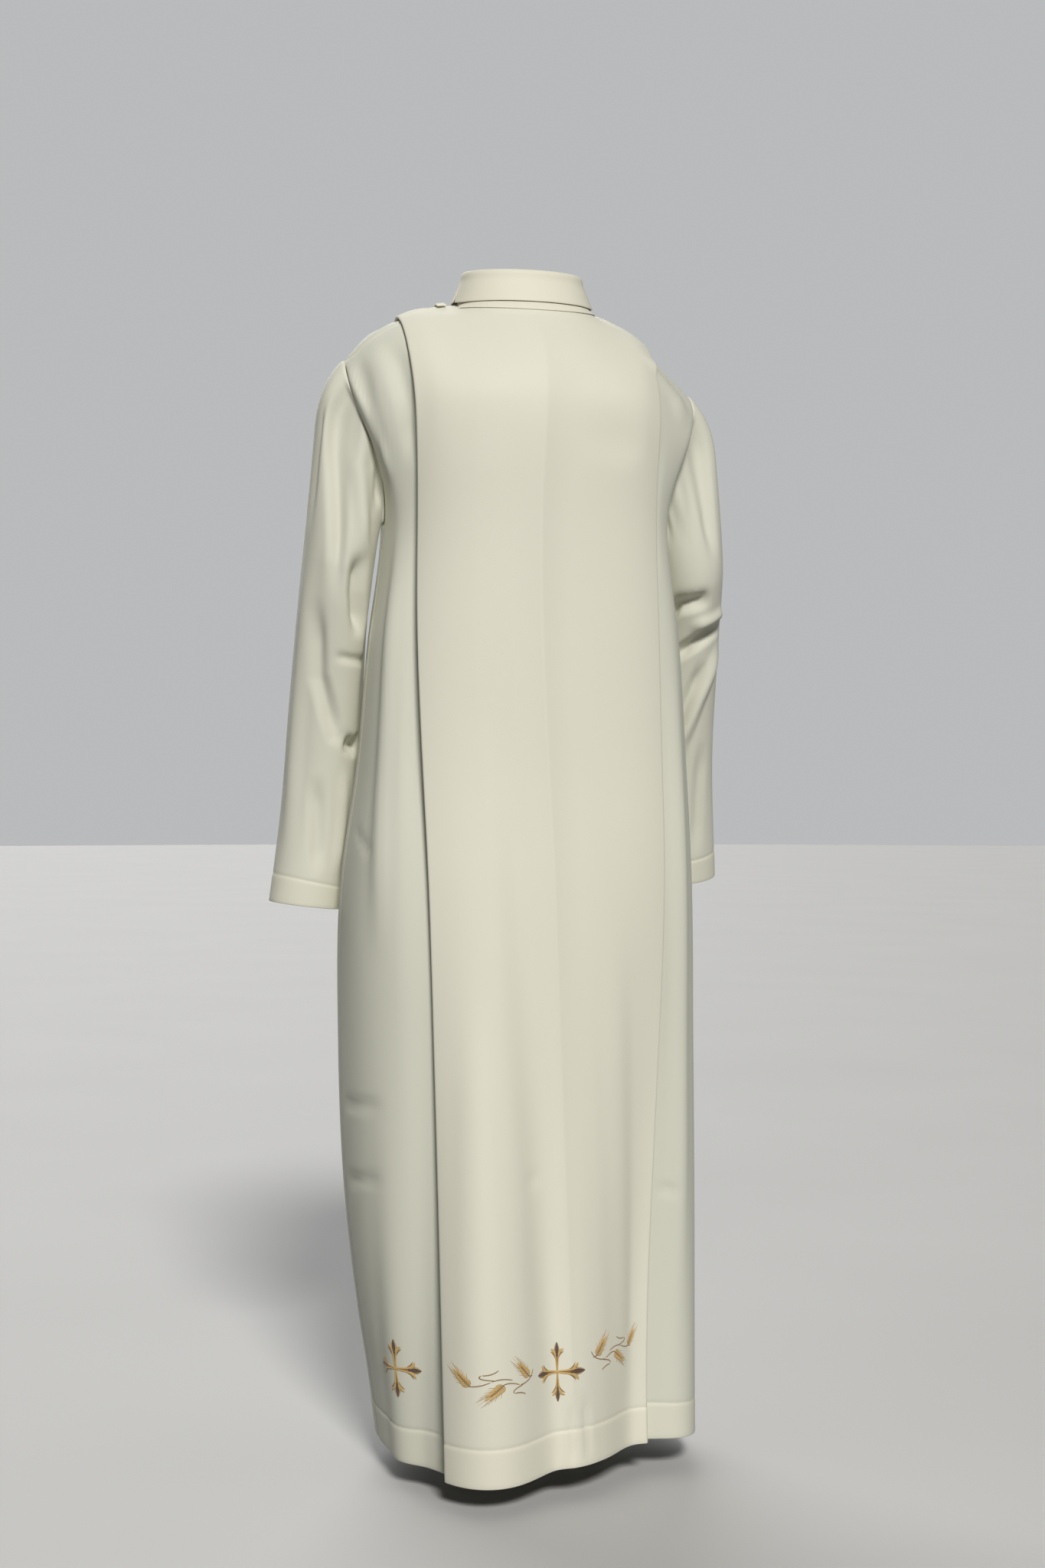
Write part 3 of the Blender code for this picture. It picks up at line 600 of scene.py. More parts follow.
def shell(name: str, grid: ClothGrid, wall: float, rim_steps: int = 3) -> bpy.types.Object:
    """A closed wall of even thickness round a grid, with rounded edges and a flat chart as its UV map.

    Args:
        name: name of the piece.
        grid: the middle surface.
        wall: thickness in metres.
        rim_steps: points round each half-round edge.

    Returns:
        The object. The outer and inner sheets are the grid moved by half the wall along its normals, and each
        rim is a half circle swept along the open edge.
    """
    points = grid.points - FROM_TABLES
    normals = grid.normals()
    rows, columns = points.shape[:2]
    half = wall / 2
    count = rows * columns
    index = np.arange(count).reshape(rows, columns)
    chart = grid.chart()
    quads = cells(closed_up(index) if grid.closed else index)
    places = np.arange(chart.shape[0] * chart.shape[1]).reshape(chart.shape[:2])
    chart_quads = cells(places)
    vertices = [(points + normals * half).reshape(-1, 3), (points - normals * half).reshape(-1, 3)]
    faces = [quads, quads[:, ::-1] + count]
    charts = [chart_quads, chart_quads[:, ::-1]]
    source = [index.ravel(), index.ravel()]
    base = 2 * count
    for edge_r, edge_c, inner_r, inner_c in edge_loops(rows, columns, grid.closed):
        edge = points[edge_r, edge_c]
        normal = normals[edge_r, edge_c]
        tangent = unit(np.roll(edge, -1, axis=0) - np.roll(edge, 1, axis=0))
        away = edge - points[inner_r, inner_c]
        away -= tangent * np.sum(away * tangent, axis=1, keepdims=True)
        away -= normal * np.sum(away * normal, axis=1, keepdims=True)
        away = unit(away)
        ids = index[edge_r, edge_c]
        rings = [ids]
        for step in range(1, rim_steps + 1):
            angle = pi / 2 - pi * step / (rim_steps + 1)
            vertices.append(edge + half * (normal * np.sin(angle) + away * np.cos(angle)))
            source.append(ids)
            rings.append(base + np.arange(len(ids)))
            base += len(ids)
        rings.append(ids + count)
        place = places[edge_r, edge_c]
        for upper, lower in zip(rings[:-1], rings[1:]):
            faces.append(np.stack([np.roll(upper, -1), upper, lower, np.roll(lower, -1)], axis=1))
            charts.append(np.stack([np.roll(place, -1), place, place, np.roll(place, -1)], axis=1))
    all_faces, all_charts = np.concatenate(faces), np.concatenate(charts)
    if grid.outward < 0:
        all_faces, all_charts = all_faces[:, ::-1], all_charts[:, ::-1]
    corner_uv = chart.reshape(-1, 2)[all_charts]
    masks = {key: values.ravel()[np.concatenate(source)] for key, values in grid.masks.items()}
    return mesh_object(name, np.concatenate(vertices), all_faces.tolist(), corner_uv.reshape(-1, 2), masks)


def mesh_object(
    name: str, vertices: Array, faces: list[list[int]], corner_uv: Array | None, masks: dict[str, Array]
) -> bpy.types.Object:
    """A smooth mesh object at the origin.

    Args:
        name: name of the piece.
        vertices: points in metres, in the frame.
        faces: corner indices of each face.
        corner_uv: a chart place for each corner, or None.
        masks: named values for each vertex.

    Returns:
        The linked object.
    """
    mesh = bpy.data.meshes.new(name)
    mesh.from_pydata(vertices.tolist(), [], faces)
    mesh.shade_smooth()
    if corner_uv is not None:
        mesh.uv_layers.new(name="cloth").data.foreach_set("uv", corner_uv.astype(np.float32).ravel())
    for key, values in masks.items():
        mesh.attributes.new(key, "FLOAT", "POINT").data.foreach_set("value", values.astype(np.float32))
    mesh.update()
    obj = bpy.data.objects.new(name, mesh)
    bpy.context.scene.collection.objects.link(obj)
    return obj


@dataclass(frozen=True)
class BodyDensity:
    """How many columns and rows the front or back cloth has in each zone."""

    neck: int = 14
    beside: int = 18
    fold: int = 8
    underlay: int = 6
    side: int = 32
    armhole: int = 44
    skirt: int = 136
    hem: int = 7


@dataclass
class BodyCloth:
    """The front or back cloth: a panel between knife pleats, from neck and shoulder to the turned hem."""

    name: str
    face: Face
    form: RobeForm
    folds: tuple[Fold, ...]
    density: BodyDensity
    crease_lift: float = 0.0
    crease_half_width: float = 0.034
    crease_power: float = 1.6
    crease_ends: tuple[float, float] = (1.37, 1.445)
    recess_depth: float = 0.017
    recess_width: float = 0.056
    recess_closed: float = 0.42
    recess_start: float = 0.10
    recess_span: tuple[float, float, float, float] = (0.06, 0.26, 0.40, 0.62)
    easing_passes: int = 60
    easing_columns: int = 12
    easing_margin: int = 4
    easing_span: tuple[float, float, float, float] = (0.005, 0.022, 0.09, 0.16)
    near_top: tuple[float, ...] = (0.0, 0.0006, 0.0013, 0.0024, 0.0040, 0.0062)
    near_top_end: float = 0.008
    near_edge: tuple[float, ...] = (0.0075, 0.0045, 0.0028, 0.0016, 0.0008, 0.0)
    turn_steps: int = 4
    hem_row: int = field(init=False, default=0)
    grid: ClothGrid = field(init=False)

    def half_columns(self) -> Array:
        """The panel and pleat from the centre out: each column's station, turn round a fold, and layer."""
        fold = PANEL_HALF_WIDTH / TIP_REACH
        under = (PANEL_HALF_WIDTH - UNDERLAY_DEPTH) / TIP_REACH
        d = self.density
        angles = np.linspace(pi / 2, -pi / 2, d.fold)
        neck = NECK_STATION * np.linspace(0, 1, d.neck + 1) ** 1.25
        on = np.linspace(0, 1, d.beside + 1)[1:-1]
        beside = NECK_STATION + (fold - NECK_STATION) * (1 - (1 - on) ** 1.3)
        panel = [(g, 0.0, 2.0) for g in np.concatenate([neck, beside])]
        outer_turn = [(fold, np.cos(a), 1.5 + 0.5 * np.sin(a)) for a in angles]
        parts = np.linspace(0, 1, d.underlay + 2)[1:-1]
        underlay = [(fold - (fold - under) * part, 0.0, 1.0) for part in parts]
        inner_turn = [(under, -np.cos(a), 0.5 + 0.5 * np.sin(a)) for a in angles]
        return np.array(panel + outer_turn + underlay + inner_turn)

    def rows(self) -> tuple[Array, Array]:
        """Every row's share of the way down and its way round the armhole."""
        d = self.density
        share = read_table(ARMHOLE, 1, np.linspace(0, 1, d.armhole + 1)[1:])
        share = np.concatenate([self.near_top, share[share > self.near_top_end]])
        fine = np.linspace(0, 1, 2001)
        way = np.interp(share, read_table(ARMHOLE, 1, fine), fine)
        turning = 1 - HEM_TURN / CLOTH_LENGTH
        near_stitch = turning + STITCH_ROWS / CLOTH_LENGTH
        skirt = np.linspace(share[-1], near_stitch[0], d.skirt + 1)[1:-1]
        hem = np.linspace(near_stitch[-1], 1, d.hem + 1)[1:]
        shares = np.concatenate([share, skirt, near_stitch, hem])
        self.hem_row = len(share) + len(skirt) + len(STITCH_ROWS) // 2
        return shares, np.concatenate([way, np.ones(len(shares) - len(way))])

    def stations(self) -> tuple[Array, Array, Array, Array, Array]:
        """The share, station, turn, layer and distance from the side edge of every column at every row."""
        shares, way = self.rows()
        half = self.half_columns()
        under = PANEL_HALF_WIDTH - UNDERLAY_DEPTH
        edge = (TIP_REACH + way * (SIDE_REACH - TIP_REACH))[:, None]
        at_edge = np.array(self.near_edge)
        spread = np.linspace(0, 1, self.density.side + 1)[1:-1]
        reach = np.concatenate([under + spread * (edge - at_edge[0] - under), edge - at_edge], axis=1)
        beyond = 1 + (reach - TIP_REACH) / (SIDE_REACH - TIP_REACH)
        side = np.where(reach <= TIP_REACH, reach / TIP_REACH, beyond)
        rows = np.ones((len(shares), 1))
        parts = [np.concatenate([half[:, 0] * rows, side], axis=1)]
        parts += [np.concatenate([half[:, c] * rows, 0 * side], axis=1) for c in (1, 2)]
        parts += [np.concatenate([1 + 0 * half[:, 0] * rows, edge - reach], axis=1)]
        station, turn, layer, from_edge = (
            np.concatenate([sign * part[:, :0:-1], part], axis=1) for sign, part in zip((-1, -1, 1, 1), parts)
        )
        return shares[:, None] * np.ones(station.shape), station, turn, layer, from_edge

    def ripple(self, station: Array, share: Array) -> Array:
        """The lift of the folds and the pressed centre crease.

        Args:
            station: place across.
            share: share of the way down.

        Returns:
            The folds' lifts plus a roof-shaped ridge along the centre line.
        """
        face = self.face.value
        top = self.form.top_line(station, face)[..., 2]
        height = top - share * (top - self.form.hem_height(station, face))
        across = np.sign(station) * self.form.reach(station, height, face)
        roof = np.clip(1 - np.abs(across) / self.crease_half_width, 0, 1) ** self.crease_power
        pressed = self.crease_lift * roof * (1 - eased(*self.crease_ends, height))
        return lift_of(self.folds, across, height) + pressed

    def recess(self, station: Array, share: Array) -> Array:
        """How far the cloth beside the panel hangs back from its edge, most between chest and hip."""
        reach = self.form.reach(station, 0 * share + UNDERARM_HEIGHT - share, self.face.value)
        fold = PANEL_HALF_WIDTH * (1 - narrowing(share))
        depth = self.recess_depth * hump((reach - fold) / self.recess_width)
        depth = depth * eased(0.0, self.recess_start, share)
        return depth * (self.recess_closed + (1 - self.recess_closed) * between(self.recess_span, share))

    def place(self, station: Array, share: Array, layer: Array, lift: Array) -> Array:
        """Points on this cloth, folds included, at a layer of its pleats and a lift above it."""
        total = layer * pleat_pitch(np.clip(share, 0, 1)) + self.ripple(station, share) + lift
        total = total - self.recess(station, share) * (1 - layer / 2)
        return self.form.cloth_point(station, share, total, self.face.value)

    def narrowed(self, station: Array, share: Array) -> Array:
        """Stations drawn in towards the hem, because the panel narrows downwards."""
        fold = PANEL_HALF_WIDTH / TIP_REACH
        past_fold = np.clip((np.abs(station) - fold) / (1 - fold), 0, 1)
        return station * (1 - narrowing(share) * (1 - past_fold))

    def ease_neck_corners(self, points: Array, shares: Array) -> None:
        """Smooths the panel below the two corners of the neckline, where the cloth would show a kink.

        Each pass moves a point half way to the mean of its two neighbours across. The weight is a cosine hump
        round the corner's column, and it fades out at the binding above and over the shoulder blades below.

        Args:
            points: the cloth's points, changed in place.
            shares: each row's share of the way down.
        """
        centre = (points.shape[1] - 1) // 2
        reach = self.density.neck + self.density.beside - self.easing_margin
        offset = np.arange(-reach, reach + 1)
        near = hump((np.abs(offset) - self.density.neck) / self.easing_columns)
        weight = 0.5 * (between(self.easing_span, shares)[:, None] * near)[..., None]
        here = centre + offset
        for _ in range(self.easing_passes):
            points[:, here] += weight * ((points[:, here - 1] + points[:, here + 1]) / 2 - points[:, here])

    def build(self) -> bpy.types.Object:
        """Makes the cloth as a wall with its hem turned up.

        Returns:
            The object. The edges roll inwards at the seams, and the shoulder seam lies behind the crest.
        """
        face = self.face.value
        shares, station, turn, layer, from_edge = self.stations()
        start = face * read_table(SEAM_BEHIND_CREST, 1, np.abs(station[0]))
        from_top = shares * CLOTH_LENGTH
        away = 1 - shares if face > 0 else 1 - eased(0, 0.03, shares)
        moved = shares + start * away
        pitch = pleat_pitch(np.clip(moved, 0, 1))
        stations = self.narrowed(station, moved) + turn * pitch / 2 / TIP_REACH
        past_neck = eased(NECK_STATION, NECK_STATION + 0.05, np.abs(station))
        roll = np.maximum(seam_roll(from_edge), seam_roll(from_top) * past_neck)
        settled = eased(0, 0.015, from_edge) * eased(0, 0.02, from_top)
        total = layer * pitch + self.ripple(stations, moved) * settled - SEAM_SINK * roll
        total += stitch_dip((shares - shares[self.hem_row]) * CLOTH_LENGTH)
        total -= self.recess(stations, moved) * (1 - layer / 2)
        points = self.form.cloth_point(stations, moved, total, face)
        self.ease_neck_corners(points, shares[:, 0])
        for edge, inner in ((0, 1), (-1, -2)):
            points[:, edge] += SEAM_GAP / 2 * unit(points[:, inner] - points[:, edge])
        points[0] += SEAM_GAP / 2 * unit(points[1] - points[0])
        on_turn = np.abs(layer - 1.5) < 0.49
        masks = {
            "hem": hem_mask(self.hem_row, shares.shape),
            # Painted highlight along the pleats' fold turns, and the double-layer cloth at the seams.
            "edge": np.maximum(np.where(on_turn, 1.0, 0.0), roll),
            # Painted shade on the cloth beside and under the panel.
            "side": 0.8 * (1 - layer / 2),
        }
        self.grid = ClothGrid(points, face, False, masks)
        turned = self.grid.turned_up(len(shares) - self.hem_row, TURN_RADIUS, self.turn_steps)
        return shell(self.name, turned, WALL)


@dataclass
class Sleeve:
    """A set-in sleeve: its cap leaves the armhole and blends into rings round the arm, to a turned cuff."""

    name: str
    arm: Arm
    form: RobeForm
    path: Array
    folds: tuple[Fold, ...]
    columns: int = 52
    rows: int = 150
    cuff_rows: int = 7
    seam_rows: tuple[float, ...] = (0.0, 0.0018, 0.004, 0.008)
    first_row: float = 0.013
    turn_steps: int = 4
    tip_outward: tuple[float, float] = (0.93, -0.37)
    tip_reach: float = 0.45
    underarm_start: float = 0.135
    underarm_span: tuple[float, float] = (0.55, 0.9)
    underarm_lift: float = 0.0009
    cap_standoff: float = 0.030
    cap_standoff_end: float = 0.12
    cap_share: float = 0.26
    cap_shortening: float = 0.6
    seam_standoff: float = 0.003
    seam_standoff_end: float = 0.012
    clearance: float = 0.0045
    clearance_end: float = 0.06
    clearance_blend: float = 0.003
    mean_radius: float = 0.053
    fold_cut: float = 110.0
    cuff_row: int = field(init=False, default=0)
    grid: ClothGrid = field(init=False)

    def way_round(self) -> Array:
        """The way from the shoulder tip to the underarm of each column of one half."""
        return np.linspace(0, 1, self.columns + 1)

    def armhole(self) -> tuple[Array, Array]:
        """Points once round the armhole from the shoulder tip by the back, and the seam's own outward way."""
        side = self.arm.value
        way = self.way_round()
        share = read_table(ARMHOLE, 1, way)
        level = np.zeros(len(way))
        halves = []
        for face in (1, -1):
            edge = self.form.cloth_point(side * (1 + way), share, level, face)
            inner = self.form.cloth_point(side * (1 + way - 0.06), share, level, face)
            lower = self.form.cloth_point(side * (1 + way), share + 0.006, level, face)
            away = (edge - inner) * (1 - way[:, None]) + (edge - lower) * way[:, None]
            halves.append((edge, np.cross(inner - edge, lower - edge), away))
        loop, surface, away = (np.concatenate([back, front[-2:0:-1]]) for back, front in zip(*halves))
        tangent = np.roll(loop, -1, axis=0) - np.roll(loop, 1, axis=0)
        outward = np.cross(surface, tangent)
        outward[0] = away[0]
        outward *= np.sign(np.sum(outward * away, axis=1, keepdims=True))
        outward = unit(outward)
        from_tip = eased(0.0, self.tip_reach, np.concatenate([way, way[-2:0:-1]]))[:, None]
        at_tip = np.array((side * self.tip_outward[0], 0.0, self.tip_outward[1]))
        return loop, outward * from_tip + at_tip * (1 - from_tip)

    def arm_frame(self, share: Array) -> tuple[Array, Array, Array, Array, Array]:
        """The arm's centre, outward and backward directions and half sizes at shares of its length."""
        steps = np.linalg.norm(np.diff(self.path[:, :3], axis=0), axis=1)
        stations = running_sum(steps) / steps.sum()

        def read(column: int, where: Array) -> Array:
            """One column of the path at shares of its length."""
            return smooth_table(where, stations, self.path[:, column])

        def centre_at(where: Array) -> Array:
            """The middle line at shares of its length."""
            return np.stack([read(column, where) for column in range(3)], axis=-1)

        down = unit(centre_at(share + 0.01) - centre_at(share - 0.01))
        out = np.zeros_like(down)
        out[..., 0] = self.arm.value
        out = unit(out - down * np.sum(out * down, axis=-1, keepdims=True))
        back = np.cross(down, out)
        back *= np.sign(back[..., 1:2])
        return centre_at(share), out, back, read(3, share), read(4, share)

    def body_half_width(self, point: Array) -> Array:
        """How far out the body ring lies beside each point."""
        side = point[..., 0] >= 0
        back = point[..., 1] > 0
        widths = [read_table(BODY_RINGS, column, point[..., 2]) for column in (1, 2, 3, 4)]
        half = np.where(side, widths[0], widths[1])
        depth = np.where(back, widths[2], widths[3])
        power = np.where(back, RING_POWER_BACK, RING_POWER_FRONT)
        return half * (1 - np.clip(np.abs(point[..., 1]) / depth, 0, 1) ** power) ** (1 / power)

    def build(self) -> bpy.types.Object:
        """Makes the sleeve as a closed tube with a wall and a turned cuff.

        Returns:
            The object. Each column leaves the armhole along the seam's outward way and blends, by a smooth
            step over the cap, into an ellipse round the arm's middle line. Folds move it along its normal.
        """
        side = self.arm.value
        loop, outward = self.armhole()
        way = self.way_round()
        turn = pi * np.concatenate([way, 2 - way[-2:0:-1]])
        length = float(np.linalg.norm(np.diff(self.path[:, :3], axis=0), axis=1).sum())
        near_stitch = 1 + (STITCH_ROWS - CUFF_TURN) / length
        sleeve = np.linspace(self.first_row, near_stitch[0], self.rows)[:-1]
        cuff = np.linspace(near_stitch[-1], 1, self.cuff_rows + 1)[1:]
        shares = np.concatenate([self.seam_rows, sleeve, near_stitch, cuff])
        self.cuff_row = len(self.seam_rows) + len(sleeve) + len(STITCH_ROWS) // 2
        share = shares[:, None] * np.ones(len(turn))
        inner = (1 - np.cos(turn)) / 2
        start = self.underarm_start / length * inner
        centre, out, back, half_across, half_along = self.arm_frame(start + (1 - start) * share)
        ring = centre + out * (half_across * np.cos(turn))[..., None]
        ring += back * (half_along * np.sin(turn))[..., None]
        blend = eased(0.0, 1.0, share / (self.cap_share * (1 - self.cap_shortening * inner)))[..., None]
        under = eased(*self.underarm_span, inner)
        seam = loop + outward * (SLEEVE_GAP + self.underarm_lift * under)[:, None]
        leave = outward * (1 - under)[:, None] + np.array((side, 0.0, 0.0)) * under[:, None]
        cap = self.cap_standoff * eased(0, self.cap_standoff_end, share) * (1 - inner)
        standoff = self.seam_standoff * eased(0, self.seam_standoff_end, share) + cap
        points = (seam + leave * standoff[..., None]) * (1 - blend) + ring * blend
        leaving = eased(self.seam_standoff_end, self.clearance_end, share)
        clear = self.body_half_width(points) + self.clearance * leaving
        kept = soft_max(side * points[..., 0], clear, self.clearance_blend)
        low = eased(UNDERARM_HEIGHT + 0.02, UNDERARM_HEIGHT - 0.01, points[..., 2]) * eased(0.0, 0.01, share)
        points[..., 0] = side * (side * points[..., 0] * (1 - low) + kept * low)
        degrees = (np.degrees(turn) + self.fold_cut) % 360 - self.fold_cut
        across = np.radians(degrees) * self.mean_radius * np.ones(share.shape)
        base = ClothGrid(points, self.outward_sign(points, centre), True)
        from_seam = share * length
        lift = lift_of(self.folds, across, points[..., 2]) * eased(0, 0.02, from_seam)
        lift -= SEAM_SINK * seam_roll(from_seam)
        lift += stitch_dip((share - shares[self.cuff_row]) * length)
        masks = {
            "hem": hem_mask(self.cuff_row, share.shape),
            "edge": seam_roll(from_seam),
            # Painted shade over the whole sleeve, at half strength.
            "side": 0.5 * np.ones(share.shape),
        }
        self.grid = ClothGrid(points + base.normals() * lift[..., None], base.outward, True, masks)
        turned = self.grid.turned_up(len(shares) - self.cuff_row, TURN_RADIUS, self.turn_steps)
        return shell(self.name, turned, WALL)

    def outward_sign(self, points: Array, centre: Array) -> int:
        """1 or -1, so that the normals of the grid point away from the arm's middle line."""
        trial = ClothGrid(points, 1, True).normals()
        return 1 if float(np.sum(trial * (points - centre))) > 0 else -1


@dataclass
class Collar:
    """The folded band round the neck: a stand, a roll and a fall that turns down, open at the left."""

    name: str = "collar_band"
    wall: float = 0.0015
    step_degrees: float = 2.5
    section_steps: int = 40
    stand_gap: float = 0.5
    fall_gap: float = 2.2
    wave: float = 0.0007
    wave_turns: float = 3.1
    wave_start: float = 20
    roll_width: float = 0.06
    edge_start: float = 0.96
    grid: ClothGrid = field(init=False)

    def section(self) -> Array:
        """The section's rows resampled to even steps of its arc by the smooth curve through them."""
        arc = running_sum(np.hypot(*np.diff(COLLAR_SECTION[:, :2], axis=0).T))
        even = np.linspace(0, arc[-1], self.section_steps)
        return np.stack([smooth_table(even, arc, COLLAR_SECTION[:, c]) for c in range(3)], axis=-1)

    def build(self) -> bpy.types.Object:
        """Makes the band by carrying its section once round the neck's ellipse.

        Returns:
            The object. The lower a row lies on the fall, the wider its gap at the opening.
        """
        section = self.section()
        lean = section[:, 2:3]
        gap = self.stand_gap + self.fall_gap * lean**2
        first = COLLAR_OPENING - self.step_degrees
        between = np.arange(first, COLLAR_OPENING - 360 + self.step_degrees / 2, -self.step_degrees)
        ends = (COLLAR_OPENING - gap, COLLAR_OPENING - 360 + gap)
        degrees = np.concatenate([ends[0], between[1:-1] * np.ones_like(gap), ends[1]], axis=1)
        angle = np.radians(degrees)
        behind = np.cos(angle) >= 0
        depth = np.where(behind, NECK_BACK, NECK_FRONT)
        flat = np.abs(np.cos(angle))
        drop = np.where(behind, NECK_BACK_DROP * flat, NECK_FRONT_DROP * flat**NECK_FRONT_POWER)
        out = unit(np.stack([np.sin(angle) / NECK_HALF_WIDTH, np.cos(angle) / depth], axis=-1))
        from_back = np.degrees(np.arccos(np.clip(np.cos(angle), -1, 1)))
        fall = lean * read_table(FALL_DROP, 1, from_back)
        wave = self.wave * np.sin(np.radians(from_back * self.wave_turns + self.wave_start)) * lean
        x = NECK_HALF_WIDTH * np.sin(angle) + out[..., 0] * (section[:, 0:1] + wave)
        y = CREST_Y + depth * np.cos(angle) + out[..., 1] * (section[:, 0:1] + wave)
        height = NECK_HEIGHT + 2 * PLEAT_PITCH_TOP - drop + section[:, 1:2] + fall
        points = np.stack([x, y, height], axis=-1)
        row = np.linspace(0, 1, self.section_steps)[:, None] * np.ones(points.shape[:2])
        roll = np.exp(-(((row - 0.5) / self.roll_width) ** 2))
        edge = np.maximum(roll, eased(self.edge_start, 1.0, row))
        masks = {"hem": np.ones(points.shape[:2]), "edge": edge}
        self.grid = ClothGrid(points, 1, False, masks)
        return shell(self.name, self.grid, self.wall)


@dataclass
class NeckBinding:
    """The narrow binding of the back neckline, which shows a few millimetres below the collar's fall."""

    form: RobeForm
    name: str = "neck_binding"
    width: float = 0.0105
    span: float = 0.97
    raised: float = 0.0004
    wall: float = 0.0009
    columns: int = 90
    rows: int = 8

    def build(self) -> bpy.types.Object:
        """Makes the binding as a strip along the neckline, on top of the panel."""
        across = np.linspace(-self.span, self.span, self.columns) * NECK_STATION
        down = np.linspace(0.0, self.width, self.rows) / NECK_HEIGHT
        stations, shares = np.meshgrid(across, down)
        lift = 2 * pleat_pitch(shares) + WALL / 2 + self.raised + self.wall / 2
        points = self.form.cloth_point(stations, shares, lift, 1)
        masks = {"hem": np.ones(stations.shape), "edge": np.zeros(stations.shape), "side": 0 * stations}
        return shell(self.name, ClothGrid(points, 1, False, masks), self.wall)


@dataclass
class ShoulderTab:
    """The small tab on the shoulder, just outside the collar's left end."""

    form: RobeForm
    name: str = "shoulder_tab_cloth"
    stations: tuple[float, float] = (0.490, 0.545)
    shares: tuple[float, float] = (-0.0050, 0.0030)
    wall: float = 0.0014
    raised: float = 0.0018
    crown: float = 0.0007
    points: int = 16

    def build(self) -> bpy.types.Object:
        """Makes the tab as a small crowned patch that follows the shoulder."""
        across = np.linspace(*self.stations, self.points)
        stations, shares = np.meshgrid(across, np.linspace(*self.shares, self.points))
        u = np.linspace(-1, 1, self.points)
        crown = self.crown * (1 - u[None, :] ** 4) * (1 - u[:, None] ** 4)
        lift = 2 * pleat_pitch(np.abs(shares)) + WALL / 2 + self.raised + self.wall / 2 + crown
        points = self.form.cloth_point(stations, shares, lift, 1)
        masks = {"hem": np.ones(stations.shape), "edge": np.maximum(np.abs(u)[:, None], np.abs(u)) ** 6}
        return shell(self.name, ClothGrid(points, 1, False, masks), self.wall)


@dataclass(frozen=True)
class StitchSizes:
    """The length, spacing and radius of stitches in metres, and how high they stand in radii."""

    length: float = 0.0026
    pitch: float = 0.0034
    radius: float = 0.00022
    raised: float = 1.2
    sunk: float = 1.6
    sides: int = 6


def stitch_run(path: Array, normals: Array, sizes: StitchSizes) -> tuple[Array, Array]:
    """Stitches along a path on the cloth.

    Args:
        path: points on the cloth's outer side.
        normals: the cloth's outward normals there.
        sizes: the sizes of each stitch.

    Returns:
        Vertices and quads. Each stitch is a capsule: rings of points round a short line whose ends dip into
        the cloth, with the last rings closed to a point.
    """
    arc = running_sum(np.linalg.norm(np.diff(path, axis=0), axis=1))
    centres = np.arange(sizes.pitch / 2, arc[-1], sizes.pitch)

    def read(values: Array, where: Array) -> Array:
        """Values along the path at arc lengths."""
        return np.stack([np.interp(where, arc, values[:, c]) for c in range(3)], axis=-1)

    middle = read(path, centres)
    tangent = unit(read(path, centres + sizes.length / 2) - read(path, centres - sizes.length / 2))
    normal = unit(read(normals, centres))
    side = np.cross(tangent, normal)
    along, width = STITCH_SHAPE[:, 0], STITCH_SHAPE[:, 1] * sizes.radius
    dip = sizes.radius * (sizes.raised - sizes.sunk * (2 * np.abs(along)) ** 3)
    angle = np.arange(sizes.sides) * 2 * pi / sizes.sides
    ring = side[:, None, None] * np.cos(angle)[:, None] + normal[:, None, None] * np.sin(angle)[:, None]
    line = middle[:, None] + tangent[:, None] * (along * sizes.length)[:, None]
    line = line + normal[:, None] * dip[:, None]
    vertices = line[:, :, None] + ring * width[:, None, None]
    index = np.arange(vertices[..., 0].size).reshape(vertices.shape[:3])
    return vertices.reshape(-1, 3), cells(closed_up(index), across_first=False)


@dataclass
class HemStitching:
    """The stitch line that holds the turned hem or cuff of a cloth."""

    name: str
    grid: ClothGrid
    row: int
    sizes: StitchSizes = StitchSizes()

    def build(self) -> bpy.types.Object:
        """Makes one run of stitches along a row of the cloth."""
        normals = self.grid.normals()
        path = self.grid.points[self.row] + normals[self.row] * WALL / 2 - FROM_TABLES
        normal = normals[self.row]
        if self.grid.closed:
            path, normal = np.concatenate([path, path[:1]]), np.concatenate([normal, normal[:1]])
        vertices, quads = stitch_run(path, normal, self.sizes)
        return mesh_object(self.name, vertices, quads.tolist(), None, {})


class Thread(Enum):
    """The embroidery threads."""

    GOLD = "gold"
    BRONZE = "bronze"
    PLUM = "plum"


@dataclass(frozen=True)
class Stroke:
    """One satin-stitched stroke in millimetres: a bent line with a width at its start, middle and end."""

    thread: Thread
    line: tuple[tuple[float, float], tuple[float, float], tuple[float, float]]
    widths: tuple[float, float, float]
    rise: float = 0.0

    def moved(self, degrees: float, mirror: bool, size: float, shift: tuple[float, float]) -> "Stroke":
        """This stroke scaled, mirrored left to right if asked, turned and then shifted."""
        turn = np.radians(degrees)
        matrix = np.array([(np.cos(turn), -np.sin(turn)), (np.sin(turn), np.cos(turn))])
        line = np.array(self.line) * (size * (-1 if mirror else 1), size)
        placed = line @ matrix.T + np.array(shift)
        return Stroke(self.thread, tuple(map(tuple, placed)), tuple(w * size for w in self.widths), self.rise)


